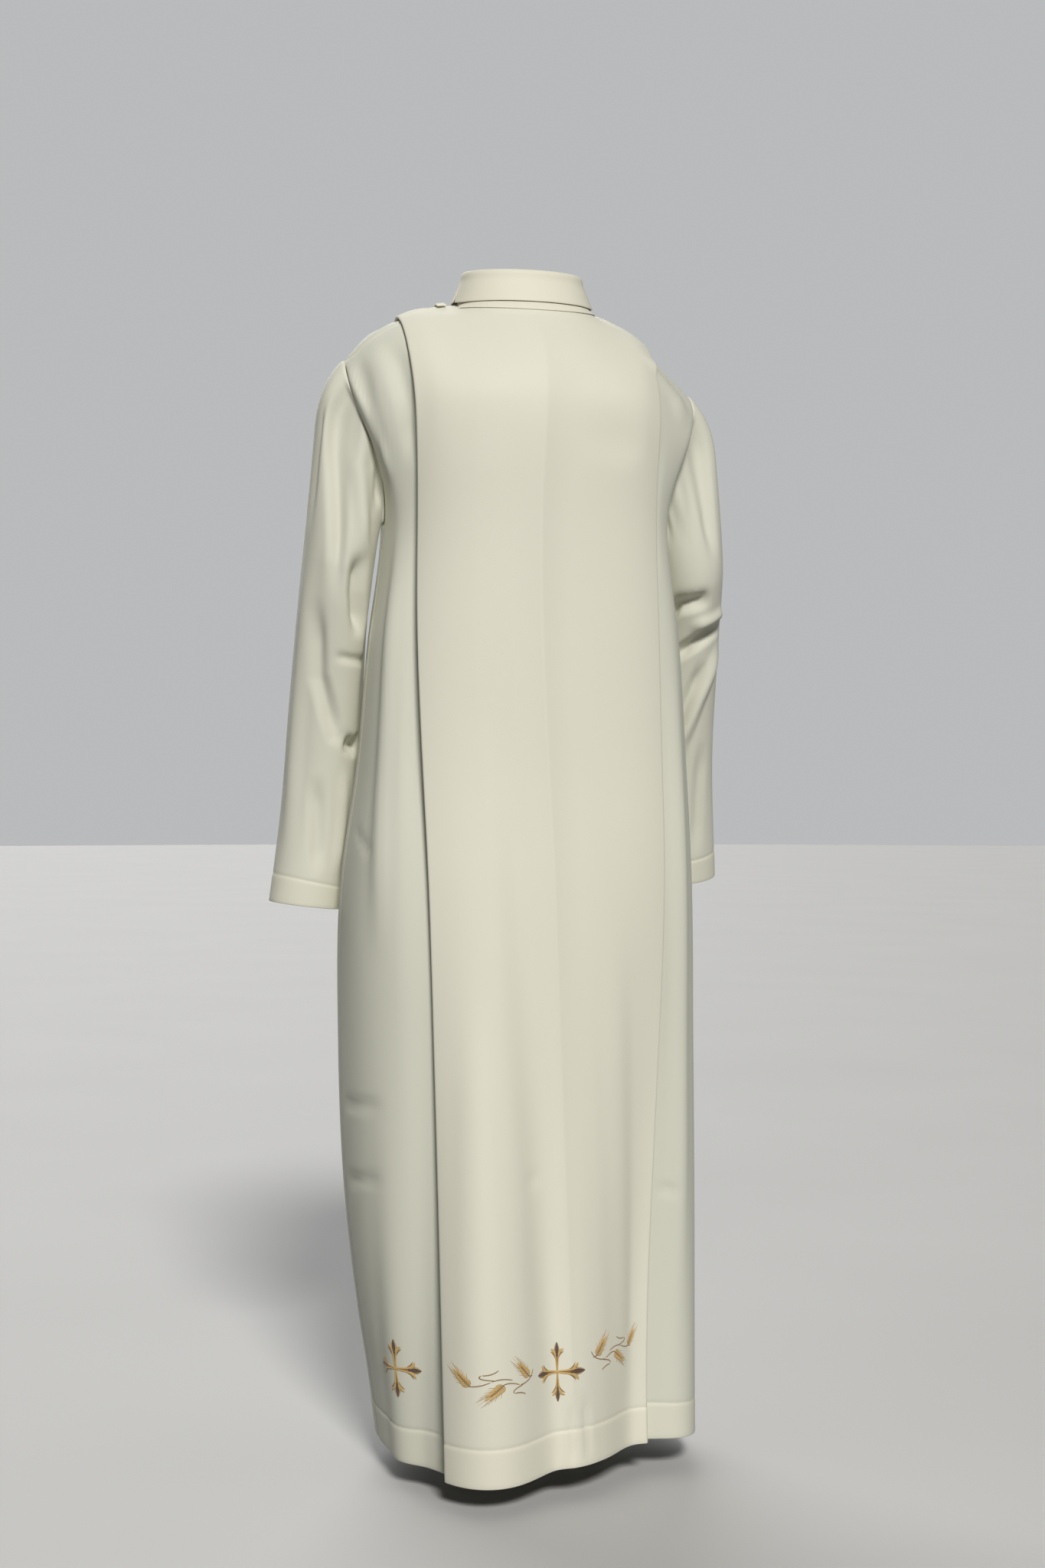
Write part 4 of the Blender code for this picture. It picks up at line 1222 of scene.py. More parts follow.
def cross_motif() -> list[Stroke]:
    """A traditional cross of four waisted arms, each ending in a lozenge between two curling petals."""
    arm = [
        Stroke(Thread.BRONZE, ((0.0, 0.0), (0.0, 12.0), (0.0, 26.0)), (3.2, 4.4, 8.4)),
        Stroke(Thread.PLUM, ((0.0, 17.5), (0.0, 27.5), (0.0, 37.0)), (1.4, 9.0, 0.4), 0.15),
    ]
    petals = (
        Stroke(Thread.GOLD, ((0.8, 1.0), (1.4, 14.0), (4.0, 24.5)), (1.6, 2.2, 2.2), 0.25),
        Stroke(Thread.GOLD, ((3.4, 20.5), (5.2, 27.0), (11.0, 28.5)), (2.0, 4.0, 0.4), 0.25),
        Stroke(Thread.BRONZE, ((2.2, 14.5), (4.2, 22.0), (11.4, 25.6)), (0.8, 1.7, 0.4), 0.1),
        Stroke(Thread.GOLD, ((0.9, 20.0), (6.4, 28.0), (0.0, 36.5)), (0.6, 1.0, 0.3), 0.3),
    )
    for mirror in (True, False):
        arm += [petal.moved(0.0, mirror, 1.0, (0.0, 0.0)) for petal in petals]
    strokes = [Stroke(Thread.GOLD, ((-3.0, 0.0), (0.0, 0.0), (3.0, 0.0)), (1.8, 4.2, 1.8), 0.35)]
    for degrees in (0, 90, 180, 270):
        strokes += [stroke.moved(degrees, False, 1.0, (0.0, 0.0)) for stroke in arm]
    return strokes


def wheat_ear() -> list[Stroke]:
    """An ear of wheat that points up: pairs of grains along a stem, and fine awns beyond them."""
    strokes = [Stroke(Thread.BRONZE, ((0.0, -2.0), (0.2, 8.0), (0.0, 20.0)), (1.0, 1.6, 0.6))]
    for step in range(7):
        base = 0.5 + 2.6 * step
        spread = 4.4 - 0.36 * step
        for sign in (-1.0, 1.0):
            tip = (sign * spread, base + 5.6)
            grain = ((sign * 0.3, base), (sign * (spread + 0.9), base + 1.2), tip)
            strokes.append(Stroke(Thread.GOLD, grain, (0.7, 2.5, 0.5), 0.15 + 0.02 * step))
            edge = ((sign * 0.2, base - 0.9), (sign * (spread + 1.9), base + 0.4), (tip[0] * 1.18, tip[1]))
            strokes.append(Stroke(Thread.BRONZE, edge, (0.4, 0.8, 0.3), 0.05))
            reach = 6.0 + 1.0 * step
            bend = (tip[0] + sign * 1.5, tip[1] + reach * 0.55)
            awn = (tip, bend, (tip[0] + sign * (4.6 - 0.5 * step), tip[1] + reach))
            thread = Thread.GOLD if step % 2 else Thread.BRONZE
            strokes.append(Stroke(thread, awn, (0.5, 0.45, 0.2)))
    strokes.append(Stroke(Thread.GOLD, ((0.0, 18.0), (0.6, 21.5), (0.0, 25.0)), (0.9, 2.6, 0.4), 0.3))
    strokes.append(Stroke(Thread.GOLD, ((0.0, 24.0), (0.6, 29.0), (0.2, 34.0)), (0.5, 0.4, 0.2)))
    return strokes


def wheat_spray() -> list[Stroke]:
    """A spray of three ears on a running stem with curling tendrils, about 100 mm wide."""
    stems = (
        ((-30.0, -4.0), (-20.0, -4.5), (-8.0, 3.0)),
        ((-8.0, 3.0), (2.0, 8.0), (15.0, 3.5)),
        ((-4.0, 4.6), (-25.0, 5.0), (-17.0, 10.5)),
        ((-17.0, 10.5), (-7.0, 10.5), (-1.0, 17.0)),
        ((3.0, -2.0), (10.0, 3.0), (24.0, -3.0)),
        ((24.0, -3.0), (42.0, -1.0), (45.0, 14.0)),
        ((36.0, 6.0), (41.0, 5.0), (43.5, 5.5)),
        ((29.0, -3.0), (12.0, -8.0), (17.0, -12.5)),
        ((17.0, -12.5), (25.0, -11.0), (33.0, -15.0)),
    )
    strokes = [Stroke(Thread.BRONZE, line, (1.1, 1.3, 0.9)) for line in stems]
    for shift, degrees in (((-29.0, -3.5), 48), ((37.0, 6.0), 44), ((4.0, -2.0), 136)):
        strokes += [stroke.moved(degrees, False, 1.0, shift) for stroke in wheat_ear()]
    return strokes


@dataclass
class ClothChart:
    """A metric chart of the back cloth's lower part: arc length across from the centre line, and height."""

    cloth: BodyCloth
    low: float = 0.0
    high: float = 0.24
    levels: int = 49
    samples: int = 900
    reach: float = 1.98
    station: Array = field(init=False)
    arc: Array = field(init=False)
    heights: Array = field(init=False)

    def __post_init__(self) -> None:
        """Adds up the true lengths along the cloth at each level, from the centre line both ways."""
        self.heights = np.linspace(self.low, self.high, self.levels)
        self.station = np.linspace(-self.reach, self.reach, self.samples)
        station = self.station[None, :] * np.ones((self.levels, 1))
        share = self.share_at(station, self.heights[:, None] * np.ones(station.shape))
        points = self.cloth.place(station, share, 0 * station, 0 * station)
        arc = running_sum(np.linalg.norm(np.diff(points, axis=1), axis=-1))
        centre = np.array([np.interp(0.0, self.station, row) for row in arc])
        self.arc = arc - centre[:, None]

    def share_at(self, station: Array, height: Array) -> Array:
        """The share of the way down that lies at a height."""
        face = self.cloth.face.value
        top = self.cloth.form.top_line(station, face)[..., 2]
        return (top - height) / (top - self.cloth.form.hem_height(station, face))

    def place(self, across: Array, height: Array, layer: float, lift: Array) -> Array:
        """Points on the cloth at metric places.

        Args:
            across: arc length to the wearer's left of the centre line, in metres.
            height: height in the tables.
            layer: 2 on the panel and 0 beside it.
            lift: distance above the cloth's middle.

        Returns:
            Points in the frame, from the stations that lie at those arc lengths.
        """
        row = np.clip((height - self.low) / (self.high - self.low), 0, 1) * (self.levels - 1)
        upper = np.minimum(row.astype(int), self.levels - 2)
        tables = np.array([np.interp(across.ravel(), arc, self.station) for arc in self.arc])
        tables = tables.reshape((self.levels,) + across.shape)
        low = np.take_along_axis(tables, upper[None], axis=0)[0]
        high = np.take_along_axis(tables, upper[None] + 1, axis=0)[0]
        station = low + (high - low) * (row - upper)
        points = self.cloth.place(station, self.share_at(station, height), layer + 0 * station, lift)
        return points - FROM_TABLES


@dataclass(frozen=True)
class MotifPlace:
    """Where a motif is sewn: its strokes, its centre on the chart and its layer of the pleats."""

    strokes: tuple[Stroke, ...]
    across: float
    height: float
    layer: float
    degrees: float = 0.0
    mirror: bool = False
    size: float = 1.0


@dataclass
class Embroidery:
    """The crosses and wheat sprays above the back hem, sewn in raised satin stitch."""

    chart: ClothChart
    motifs: tuple[MotifPlace, ...]
    steps: int = 13
    sides: int = 8
    raised: float = 0.00042
    least_width: float = 0.00008
    least_height: float = 0.00005
    flatness: float = 0.4
    taper: float = 30
    tip: float = 0.05
    bulge: float = 0.9
    above: float = 0.25

    def build(self, thread: Thread) -> bpy.types.Object:
        """Makes every stroke of one thread as one piece.

        Args:
            thread: the thread whose strokes are made.

        Returns:
            The object. A stroke is a flattened tube carried along a quadratic curve on the cloth's chart, as
            wide as its own three widths and a little raised.
        """
        vertices, faces, uvs = [], [], []
        base = 0
        for motif in self.motifs:
            strokes = [
                stroke.moved(motif.degrees, motif.mirror, motif.size, (0.0, 0.0))
                for stroke in motif.strokes
                if stroke.thread is thread
            ]
            if not strokes:
                continue
            points, quads, uv = self.tubes(strokes, motif)
            vertices.append(points)
            faces.append(quads + base)
            uvs.append(uv)
            base += len(points)
        all_faces = np.concatenate(faces)
        corner_uv = np.concatenate(uvs)[all_faces].reshape(-1, 2)
        name = f"embroidery_{thread.value}"
        return mesh_object(name, np.concatenate(vertices), all_faces.tolist(), corner_uv, {})

    def tubes(self, strokes: list[Stroke], motif: MotifPlace) -> tuple[Array, Array, Array]:
        """The vertices, quads and thread chart of a motif's strokes of one thread.

        Args:
            strokes: the strokes, in millimetres from the motif's centre.
            motif: the place that they are sewn at.

        Returns:
            Points, quads and a chart place for each point: metres along and round the stroke.
        """
        lines = np.array([stroke.line for stroke in strokes])[:, :, None] / MM_PER_METRE
        widths = np.array([stroke.widths for stroke in strokes])[:, :, None] / MM_PER_METRE
        t = np.linspace(0, 1, self.steps)
        curve = (1 - t)[:, None] ** 2 * lines[:, 0] + 2 * (t * (1 - t))[:, None] * lines[:, 1]
        curve = curve + t[:, None] ** 2 * lines[:, 2]
        slope = unit(np.gradient(curve, axis=1))
        sideways = np.stack([-slope[..., 1], slope[..., 0]], axis=-1)
        width = widths[:, 0] * (1 - t) * (1 - 2 * t) + widths[:, 1] * 4 * t * (1 - t)
        width = width + widths[:, 2] * t * (2 * t - 1)
        tapered = np.clip(np.minimum(t, 1 - t) * self.taper, self.tip, 1)
        width = np.maximum(width, self.least_width) * tapered
        angle = np.arange(self.sides) * 2 * pi / self.sides
        flat = curve[:, :, None] + sideways[:, :, None] * (width[..., None] / 2 * np.cos(angle))[..., None]
        thick = np.minimum(self.raised, self.flatness * width + self.least_height)
        rise = np.array([stroke.rise for stroke in strokes])[:, None, None] / MM_PER_METRE
        lift = WALL / 2 + rise + thick[..., None] * (np.sin(angle) * self.bulge + self.above)
        across = motif.across - flat[..., 0]
        points = self.chart.place(across, motif.height + flat[..., 1], motif.layer, lift)
        quads = cells(closed_up(np.arange(lift.size).reshape(lift.shape)))
        if motif.mirror:
            quads = quads[:, ::-1]
        along = running_sum(np.linalg.norm(np.diff(curve, axis=1), axis=-1))
        uv = np.stack([along[..., None] + 0 * lift, width[..., None] * np.cos(angle) / 2], axis=-1)
        return points.reshape(-1, 3), quads, uv.reshape(-1, 2)


class NodeSketch:
    """A short way to add and join the nodes of a material or a node group."""

    def __init__(self, tree: bpy.types.NodeTree) -> None:
        """Keeps the tree that nodes are added to."""
        self.tree = tree

    def add(self, kind: str, values: dict[str, object] | None = None, **settings: object) -> bpy.types.Node:
        """Adds a node.

        Args:
            kind: the node's type.
            values: input socket values or the output sockets to join them to, by name or number.
            settings: the node's own settings.

        Returns:
            The node.
        """
        node = self.tree.nodes.new(kind)
        for key, value in settings.items():
            setattr(node, key, value)
        self.put(node, values or {})
        return node

    def put(self, node: bpy.types.Node, values: dict[str, object]) -> None:
        """Sets a node's inputs, or joins them to the output sockets given."""
        for key, value in values.items():
            if isinstance(value, bpy.types.NodeSocket):
                self.tree.links.new(value, node.inputs[key])
            else:
                node.inputs[key].default_value = value

    def math(self, operation: str, first: object, second: object = 0.0) -> bpy.types.NodeSocket:
        """The output of a math node."""
        return self.add("ShaderNodeMath", {0: first, 1: second}, operation=operation).outputs[0]

    def mix(self, factor: object, first: object, second: object) -> bpy.types.NodeSocket:
        """The output of a colour mix node."""
        values = {"Factor": factor, "A": first, "B": second}
        return self.add("ShaderNodeMix", values, data_type="RGBA").outputs["Result"]

    def mask(self, name: str) -> bpy.types.NodeSocket:
        """The output of an attribute node that reads one of a piece's masks."""
        return self.add("ShaderNodeAttribute", attribute_name=name, attribute_type="GEOMETRY").outputs["Fac"]

    def group(self, tree: bpy.types.NodeTree, values: dict[str, object]) -> bpy.types.Node:
        """Places a node group with its own values."""
        return self.add("ShaderNodeGroup", values, node_tree=tree)


def new_material(name: str) -> tuple[bpy.types.Material, NodeSketch, bpy.types.Node]:
    """A material with the sketch of its nodes and its shader."""
    material = bpy.data.materials.new(name)
    material.use_nodes = True
    tree = material.node_tree
    return material, NodeSketch(tree), tree.nodes["Principled BSDF"]


def new_group(
    name: str, inputs: dict[str, str], outputs: dict[str, str]
) -> tuple[bpy.types.NodeTree, NodeSketch]:
    """An empty shader node group with its sockets and its input and output nodes."""
    tree = bpy.data.node_groups.new(name, "ShaderNodeTree")
    for socket, kind in inputs.items():
        tree.interface.new_socket(socket, in_out="INPUT", socket_type=f"NodeSocket{kind}")
    for socket, kind in outputs.items():
        tree.interface.new_socket(socket, in_out="OUTPUT", socket_type=f"NodeSocket{kind}")
    tree.nodes.new("NodeGroupInput")
    tree.nodes.new("NodeGroupOutput")
    return tree, NodeSketch(tree)


def twill_group() -> bpy.types.NodeTree:
    """A twill weave from a chart in metres: slanted ribs crossed by finer threads, and uneven long slubs.

    The rib height is a sine of the sum of both chart directions, the cross thread a sine of the second.
    """
    tree, sketch = new_group(
        "twill_weave",
        {"Chart": "Vector", "Rib Pitch": "Float", "Slub Length": "Float"},
        {"Height": "Float", "Slub": "Float"},
    )
    source, result = tree.nodes["Group Input"], tree.nodes["Group Output"]
    parts = sketch.add("ShaderNodeSeparateXYZ", {0: source.outputs["Chart"]})
    turn = sketch.math("DIVIDE", 2 * pi, source.outputs["Rib Pitch"])
    slant = sketch.math("ADD", parts.outputs[0], sketch.math("MULTIPLY", parts.outputs[1], 0.62))
    rib = sketch.math("SINE", sketch.math("MULTIPLY", slant, turn))
    cross = sketch.math("SINE", sketch.math("MULTIPLY", parts.outputs[1], sketch.math("MULTIPLY", turn, 1.7)))
    weave = sketch.math("ADD", sketch.math("MULTIPLY", rib, 0.35), sketch.math("MULTIPLY", cross, 0.15))
    along = sketch.math("DIVIDE", parts.outputs[0], source.outputs["Slub Length"])
    across = sketch.math("DIVIDE", parts.outputs[1], 0.0011)
    squash = sketch.add("ShaderNodeCombineXYZ", {0: along, 1: across})
    slub = sketch.add("ShaderNodeTexNoise", {"Vector": squash.outputs[0], "Scale": 1.0, "Detail": 2.0})
    height = sketch.math("ADD", weave, slub.outputs["Fac"])
    sketch.put(result, {"Height": height, "Slub": slub.outputs["Fac"]})
    return tree


def drift_group() -> bpy.types.NodeTree:
    """Slow changes of shade over the cloth, and a faint greying, from Object coordinates in metres."""
    inputs, outputs = {"Position": "Vector", "Size": "Float"}, {"Shade": "Float", "Wear": "Float"}
    tree, sketch = new_group("cloth_drift", inputs, outputs)
    source, result = tree.nodes["Group Input"], tree.nodes["Group Output"]
    values = {0: source.outputs["Position"], "Scale": sketch.math("DIVIDE", 1.0, source.outputs["Size"])}
    scaled = sketch.add("ShaderNodeVectorMath", values, operation="SCALE")
    broad = sketch.add("ShaderNodeTexNoise", {"Vector": scaled.outputs[0], "Scale": 1.0, "Detail": 3.0})
    fine = sketch.add("ShaderNodeTexNoise", {"Vector": scaled.outputs[0], "Scale": 9.0, "Detail": 4.0})
    sketch.put(result, {"Shade": broad.outputs["Fac"], "Wear": fine.outputs["Fac"]})
    return tree


@dataclass(frozen=True)
class IvoryTwill:
    """Matt ivory twill with a soft sheen: weave, slubs, drift of shade, paler hems and seams of double-layer
    cloth, a painted highlight on the pleats' fold edges and painted shade on the side cloth and sleeves.
    """

    name: str
    colour: tuple[float, float, float] = (0.780, 0.762, 0.640)
    greyed: tuple[float, float, float] = (0.735, 0.722, 0.612)
    # Painted shade: the colour that the side mask darkens the side cloth and sleeves towards.
    painted_shade_colour: tuple[float, float, float] = (0.655, 0.662, 0.565)
    # Paler colour of double-layer cloth, which is also a painted highlight on the pleats' fold edges.
    doubled_and_highlit_colour: tuple[float, float, float] = (0.830, 0.795, 0.645)
    roughness: float = 0.62
    rib_pitch: float = 0.0011
    slub_length: float = 0.011
    weave_depth: float = 0.00010
    drift_size: float = 0.22
    # How far double-layer cloth and the painted fold-edge highlight go towards the paler colour.
    doubled_and_highlit_share: float = 0.34

    def material(self, twill: bpy.types.NodeTree, drift: bpy.types.NodeTree) -> bpy.types.Material:
        """Makes the material.

        Args:
            twill: the weave group.
            drift: the shade group.

        Returns:
            The material, with weave on the piece's own chart. The masks hem and edge make double-layer cloth
            paler, edge also paints a highlight on the pleats' fold edges, and side paints shade on the side
            cloth and sleeves.
        """
        material, sketch, shader = new_material(self.name)
        chart = sketch.add("ShaderNodeUVMap", uv_map="cloth").outputs[0]
        place = sketch.add("ShaderNodeTexCoord").outputs["Object"]
        sizes = {"Rib Pitch": self.rib_pitch, "Slub Length": self.slub_length}
        weave = sketch.group(twill, {"Chart": chart, **sizes})
        shade = sketch.group(drift, {"Position": place, "Size": self.drift_size})
        spots = sketch.math("MULTIPLY", sketch.math("SUBTRACT", weave.outputs["Slub"], 0.5), 0.35)
        slow = sketch.math("SUBTRACT", sketch.math("MULTIPLY", shade.outputs["Shade"], 1.1), 0.28)
        base = sketch.mix(sketch.math("ADD", slow, spots), (*self.colour, 1.0), (*self.greyed, 1.0))
        # Painted shade: the side mask darkens the cloth beside and under the panel, and the sleeves.
        with_painted_shade = sketch.mix(sketch.mask("side"), base, (*self.painted_shade_colour, 1.0))
        # Paler where the cloth is double-layer, and a painted highlight on the pleats' fold edges through the
        # edge mask.
        paler = sketch.math("MAXIMUM", sketch.mask("hem"), sketch.mask("edge"))
        paler = sketch.math("MULTIPLY", paler, self.doubled_and_highlit_share)
        wear = sketch.math("MULTIPLY", shade.outputs["Wear"], 0.12)
        bump = {"Height": weave.outputs["Height"], "Strength": 0.5, "Distance": self.weave_depth}
        values = {
            "Base Color": sketch.mix(paler, with_painted_shade, (*self.doubled_and_highlit_colour, 1.0)),
            "Roughness": sketch.math("ADD", wear, self.roughness - 0.06),
            "Normal": sketch.add("ShaderNodeBump", bump).outputs[0],
            "Sheen Weight": 0.06,
            "Sheen Roughness": 0.45,
            "Specular IOR Level": 0.35,
        }
        sketch.put(shader, values)
        return material


@dataclass(frozen=True)
class ThreadFinish:
    """Shiny embroidery or sewing thread: fine ribs across the stroke with painted shade in their grooves, and
    small random changes of tone.
    """

    name: str
    colour: tuple[float, float, float]
    # Darker colour: random tone from the noise, and painted shade in the ribs' grooves.
    darker_tone_and_groove_shade: tuple[float, float, float]
    roughness: float = 0.38
    ribbed: bool = True
    rib_pitch: float = 0.0005
    drift_size: float = 0.006

    def material(self, drift: bpy.types.NodeTree) -> bpy.types.Material:
        """Makes the material.

        Args:
            drift: the shade group.

        Returns:
            The material, with ribs half a millimetre apart along each stroke where it is ribbed.
        """
        material, sketch, shader = new_material(self.name)
        place = sketch.add("ShaderNodeTexCoord").outputs["Object"]
        shade = sketch.group(drift, {"Position": place, "Size": self.drift_size})
        height = shade.outputs["Wear"]
        if self.ribbed:
            chart = sketch.add("ShaderNodeUVMap", uv_map="cloth")
            parts = sketch.add("ShaderNodeSeparateXYZ", {0: chart.outputs[0]})
            slant = sketch.math("ADD", parts.outputs[0], sketch.math("MULTIPLY", parts.outputs[1], 0.5))
            rib = sketch.math("SINE", sketch.math("MULTIPLY", slant, 2 * pi / self.rib_pitch))
            height = sketch.math("ADD", height, sketch.math("MULTIPLY", rib, 0.4))
        # Colour follows the height: random tone from the noise, and painted shade in the ribs' grooves where
        # ribbed.
        factor = sketch.math("SUBTRACT", sketch.math("MULTIPLY", height, 1.4), 0.3)
        bump = {"Height": height, "Strength": 0.6, "Distance": 0.00012}
        rough = sketch.math("MULTIPLY", shade.outputs["Shade"], 0.2)
        values = {
            "Base Color": sketch.mix(factor, (*self.darker_tone_and_groove_shade, 1.0), (*self.colour, 1.0)),
            "Roughness": sketch.math("ADD", rough, self.roughness - 0.1),
            "Normal": sketch.add("ShaderNodeBump", bump).outputs[0],
            "Sheen Weight": 0.1,
        }
        sketch.put(shader, values)
        return material


@dataclass(frozen=True)
class Lamp:
    """A distant soft lamp.

    Its way from the robe is given as parts towards the camera, to the camera's left and up. The spread is its
    width in degrees as seen from the robe, and the strength is in watts per square metre.
    """

    name: str
    way: tuple[float, float, float]
    spread: float
    strength: float
    colour: tuple[float, float, float] = (0.98, 0.99, 1.0)


@dataclass
class Studio:
    """A wide pale floor, soft lamps and the camera at the photograph's angle."""

    azimuth: float = 165.0
    distance: float = 2.95
    eye_height: float = 0.835
    focal_length: float = 51.4
    floor_height: float = -1.47
    floor_radius: float = 30.0
    floor_sides: int = 64
    floor_colours: tuple[tuple[float, ...], tuple[float, ...]] = ((0.52, 0.515, 0.505), (0.56, 0.555, 0.545))
    bounce_colour: tuple[float, float, float] = (0.25, 0.25, 0.245)
    lamps: tuple[Lamp, ...] = (
        Lamp("key_lamp", (1.0, -0.18, 0.74), 12.0, 2.82, (1.0, 0.985, 0.955)),
        Lamp("top_lamp", (0.0, 0.0, 1.0), 50.0, 0.20),
        Lamp("far_lamp", (-1.0, 0.3, 0.55), 50.0, 1.9),
    )
    lamp_distance: float = 4.0
    surround_colour: tuple[float, float, float] = (0.80, 0.81, 0.82)
    surround_light: float = 0.05
    surround_looks: float = 0.56

    def directions(self) -> tuple[Vector, Vector]:
        """The way from the robe to the camera, and the camera's left."""
        turn = np.radians(self.azimuth)
        towards = Vector((float(np.sin(turn)), float(-np.cos(turn)), 0.0))
        return towards, Vector((-towards.y, towards.x, 0.0)) * -1

    def floor(self) -> bpy.types.Object:
        """Makes the floor as rings of a disc, with a faintly mottled finish.

        Returns:
            The floor. It looks pale, and gives back less light than that to the cloth.
        """
        radius = self.floor_radius * np.linspace(0, 1, 13)[1:] ** 2
        angle = np.arange(self.floor_sides) * 2 * pi / self.floor_sides
        x = radius[:, None] * np.cos(angle)
        y = radius[:, None] * np.sin(angle)
        rings = np.stack([x, y, np.full(x.shape, self.floor_height)], axis=-1).reshape(-1, 3)
        vertices = np.concatenate([rings, [(0.0, 0.0, self.floor_height)]])
        wide = closed_up(np.arange(len(rings)).reshape(x.shape))
        quads = cells(wide, across_first=False).tolist()
        hub = [[len(rings), int(a), int(b)] for a, b in zip(wide[0, :-1], wide[0, 1:])]
        obj = mesh_object("studio_floor", vertices, quads + hub, None, {})
        material, sketch, shader = new_material("pale_floor")
        place = sketch.add("ShaderNodeTexCoord")
        noise = sketch.add("ShaderNodeTexNoise", {"Vector": place.outputs["Object"], "Scale": 1.5})
        darker, paler = ((*colour, 1.0) for colour in self.floor_colours)
        seen = sketch.mix(noise.outputs["Fac"], darker, paler)
        bounced = sketch.add("ShaderNodeLightPath").outputs["Is Diffuse Ray"]
        colour = sketch.mix(bounced, seen, (*self.bounce_colour, 1.0))
        sketch.put(shader, {"Base Color": colour, "Roughness": 0.75})
        obj.data.materials.append(material)
        return obj

    def lights(self) -> None:
        """Adds the lamps over the camera, overhead and from the far side, and an even pale surround."""
        towards, left = self.directions()
        for lamp in self.lamps:
            parts = lamp.way
            way = (towards * parts[0] + left * parts[1] + Vector((0.0, 0.0, 1.0)) * parts[2]).normalized()
            data = bpy.data.lights.new(lamp.name, "SUN")
            data.angle = np.radians(lamp.spread)
            data.energy = lamp.strength
            data.color = lamp.colour
            obj = bpy.data.objects.new(lamp.name, data)
            obj.location = way * self.lamp_distance
            obj.rotation_euler = way.to_track_quat("Z", "Y").to_euler()
            bpy.context.scene.collection.objects.link(obj)
        world = bpy.data.worlds.new("studio_surround")
        bpy.context.scene.world = world
        bpy.context.scene.view_settings.view_transform = "Standard"
        world.use_nodes = True
        sketch = NodeSketch(world.node_tree)
        seen = sketch.add("ShaderNodeLightPath").outputs["Is Camera Ray"]
        strength = sketch.math("ADD", sketch.math("MULTIPLY", seen, self.surround_looks), self.surround_light)
        values = {"Color": (*self.surround_colour, 1.0), "Strength": strength}
        sketch.put(world.node_tree.nodes["Background"], values)

    def camera(self) -> None:
        """Adds the camera, level and turned to the photograph's azimuth."""
        towards, _ = self.directions()
        data = bpy.data.cameras.new("camera")
        data.sensor_width = 36.0
        data.lens = self.focal_length
        data.clip_end = 100.0
        camera = bpy.data.objects.new("camera", data)
        camera.location = towards * self.distance + Vector((0.0, 0.0, self.eye_height - ORIGIN_HEIGHT))
        camera.rotation_euler = (-towards).to_track_quat("-Z", "Y").to_euler()
        bpy.context.scene.collection.objects.link(camera)
        bpy.context.scene.camera = camera


def arc_line(*points: tuple[float, float]) -> tuple[tuple[float, float], ...]:
    """A sleeve fold's line from (degrees from the outer side to the back, height) to metres round the arm."""
    return tuple((float(np.radians(degrees)) * Sleeve.mean_radius, height) for degrees, height in points)


BACK_FOLDS = (
    Fold(((0.176, 1.415), (0.172, 1.370), (0.172, 1.320), (0.178, 1.230)), 0.012, -0.0075),
    Fold(((0.200, 1.395), (0.198, 1.360), (0.202, 1.315), (0.208, 1.240)), 0.010, -0.0060),
    Fold(((0.200, 1.330), (0.206, 1.270), (0.214, 1.215)), 0.008, 0.0034),
    Fold(((0.205, 1.180), (0.215, 1.000), (0.225, 0.820), (0.228, 0.600)), 0.022, 0.0068),
    Fold(((0.175, 1.200), (0.178, 1.000), (0.180, 0.780)), 0.016, -0.0043),
    Fold(((0.297, 0.782), (0.234, 0.741)), 0.008, -0.0037, 1.5),
    Fold(((0.330, 0.426), (0.222, 0.434)), 0.013, -0.0037, 1.3),
    Fold(((0.330, 0.328), (0.224, 0.342)), 0.013, -0.0037, 1.3),
    Fold(((0.055, 0.350), (0.034, 0.347)), 0.010, -0.0020),
    Fold(((-0.155, 0.315), (-0.189, 0.313)), 0.008, -0.0031, 1.5),
    Fold(((-0.205, 1.050), (-0.198, 0.800), (-0.194, 0.465), (-0.190, 0.100)), 0.020, 0.0065),
    Fold(((-0.140, 1.395), (-0.170, 1.369), (-0.188, 1.342), (-0.200, 1.300)), 0.011, 0.0041),
    Fold(((-0.170, 1.300), (-0.178, 1.200), (-0.180, 1.080)), 0.010, -0.0037),
    Fold(((0.003, 0.075), (0.002, 0.030), (-0.001, -0.010)), 0.006, -0.0027),
    Fold(((-0.014, 0.080), (-0.015, 0.030), (-0.018, -0.010)), 0.006, -0.0031),
    Fold(((0.052, 1.000), (0.048, 0.600), (0.040, 0.100), (0.040, -0.010)), 0.030, -0.0037),
    Fold(((-0.020, 1.370), (-0.070, 1.300), (-0.120, 1.235)), 0.040, -0.0050),
    Fold(((0.100, 0.600), (0.105, 0.200), (0.105, 0.000)), 0.028, 0.0031),
    Fold(((-0.075, 0.700), (-0.080, 0.300), (-0.080, 0.000)), 0.028, 0.0027),
)
FRONT_FOLDS = (
    Fold(((0.060, 1.250), (0.070, 0.800), (0.075, 0.300), (0.080, 0.000)), 0.030, 0.0052),
    Fold(((-0.065, 1.250), (-0.070, 0.800), (-0.080, 0.300), (-0.082, 0.000)), 0.030, 0.0055),
    Fold(((0.000, 1.200), (0.002, 0.700), (0.000, 0.000)), 0.028, -0.0039),
    Fold(((0.190, 1.150), (0.195, 0.700), (0.200, 0.050)), 0.020, 0.0047),
    Fold(((-0.190, 1.150), (-0.195, 0.700), (-0.200, 0.050)), 0.020, 0.0047),
    Fold(((0.215, 1.230), (0.180, 1.180), (0.150, 1.150)), 0.014, -0.0036),
    Fold(((-0.215, 1.230), (-0.180, 1.180), (-0.150, 1.150)), 0.014, -0.0036),
)
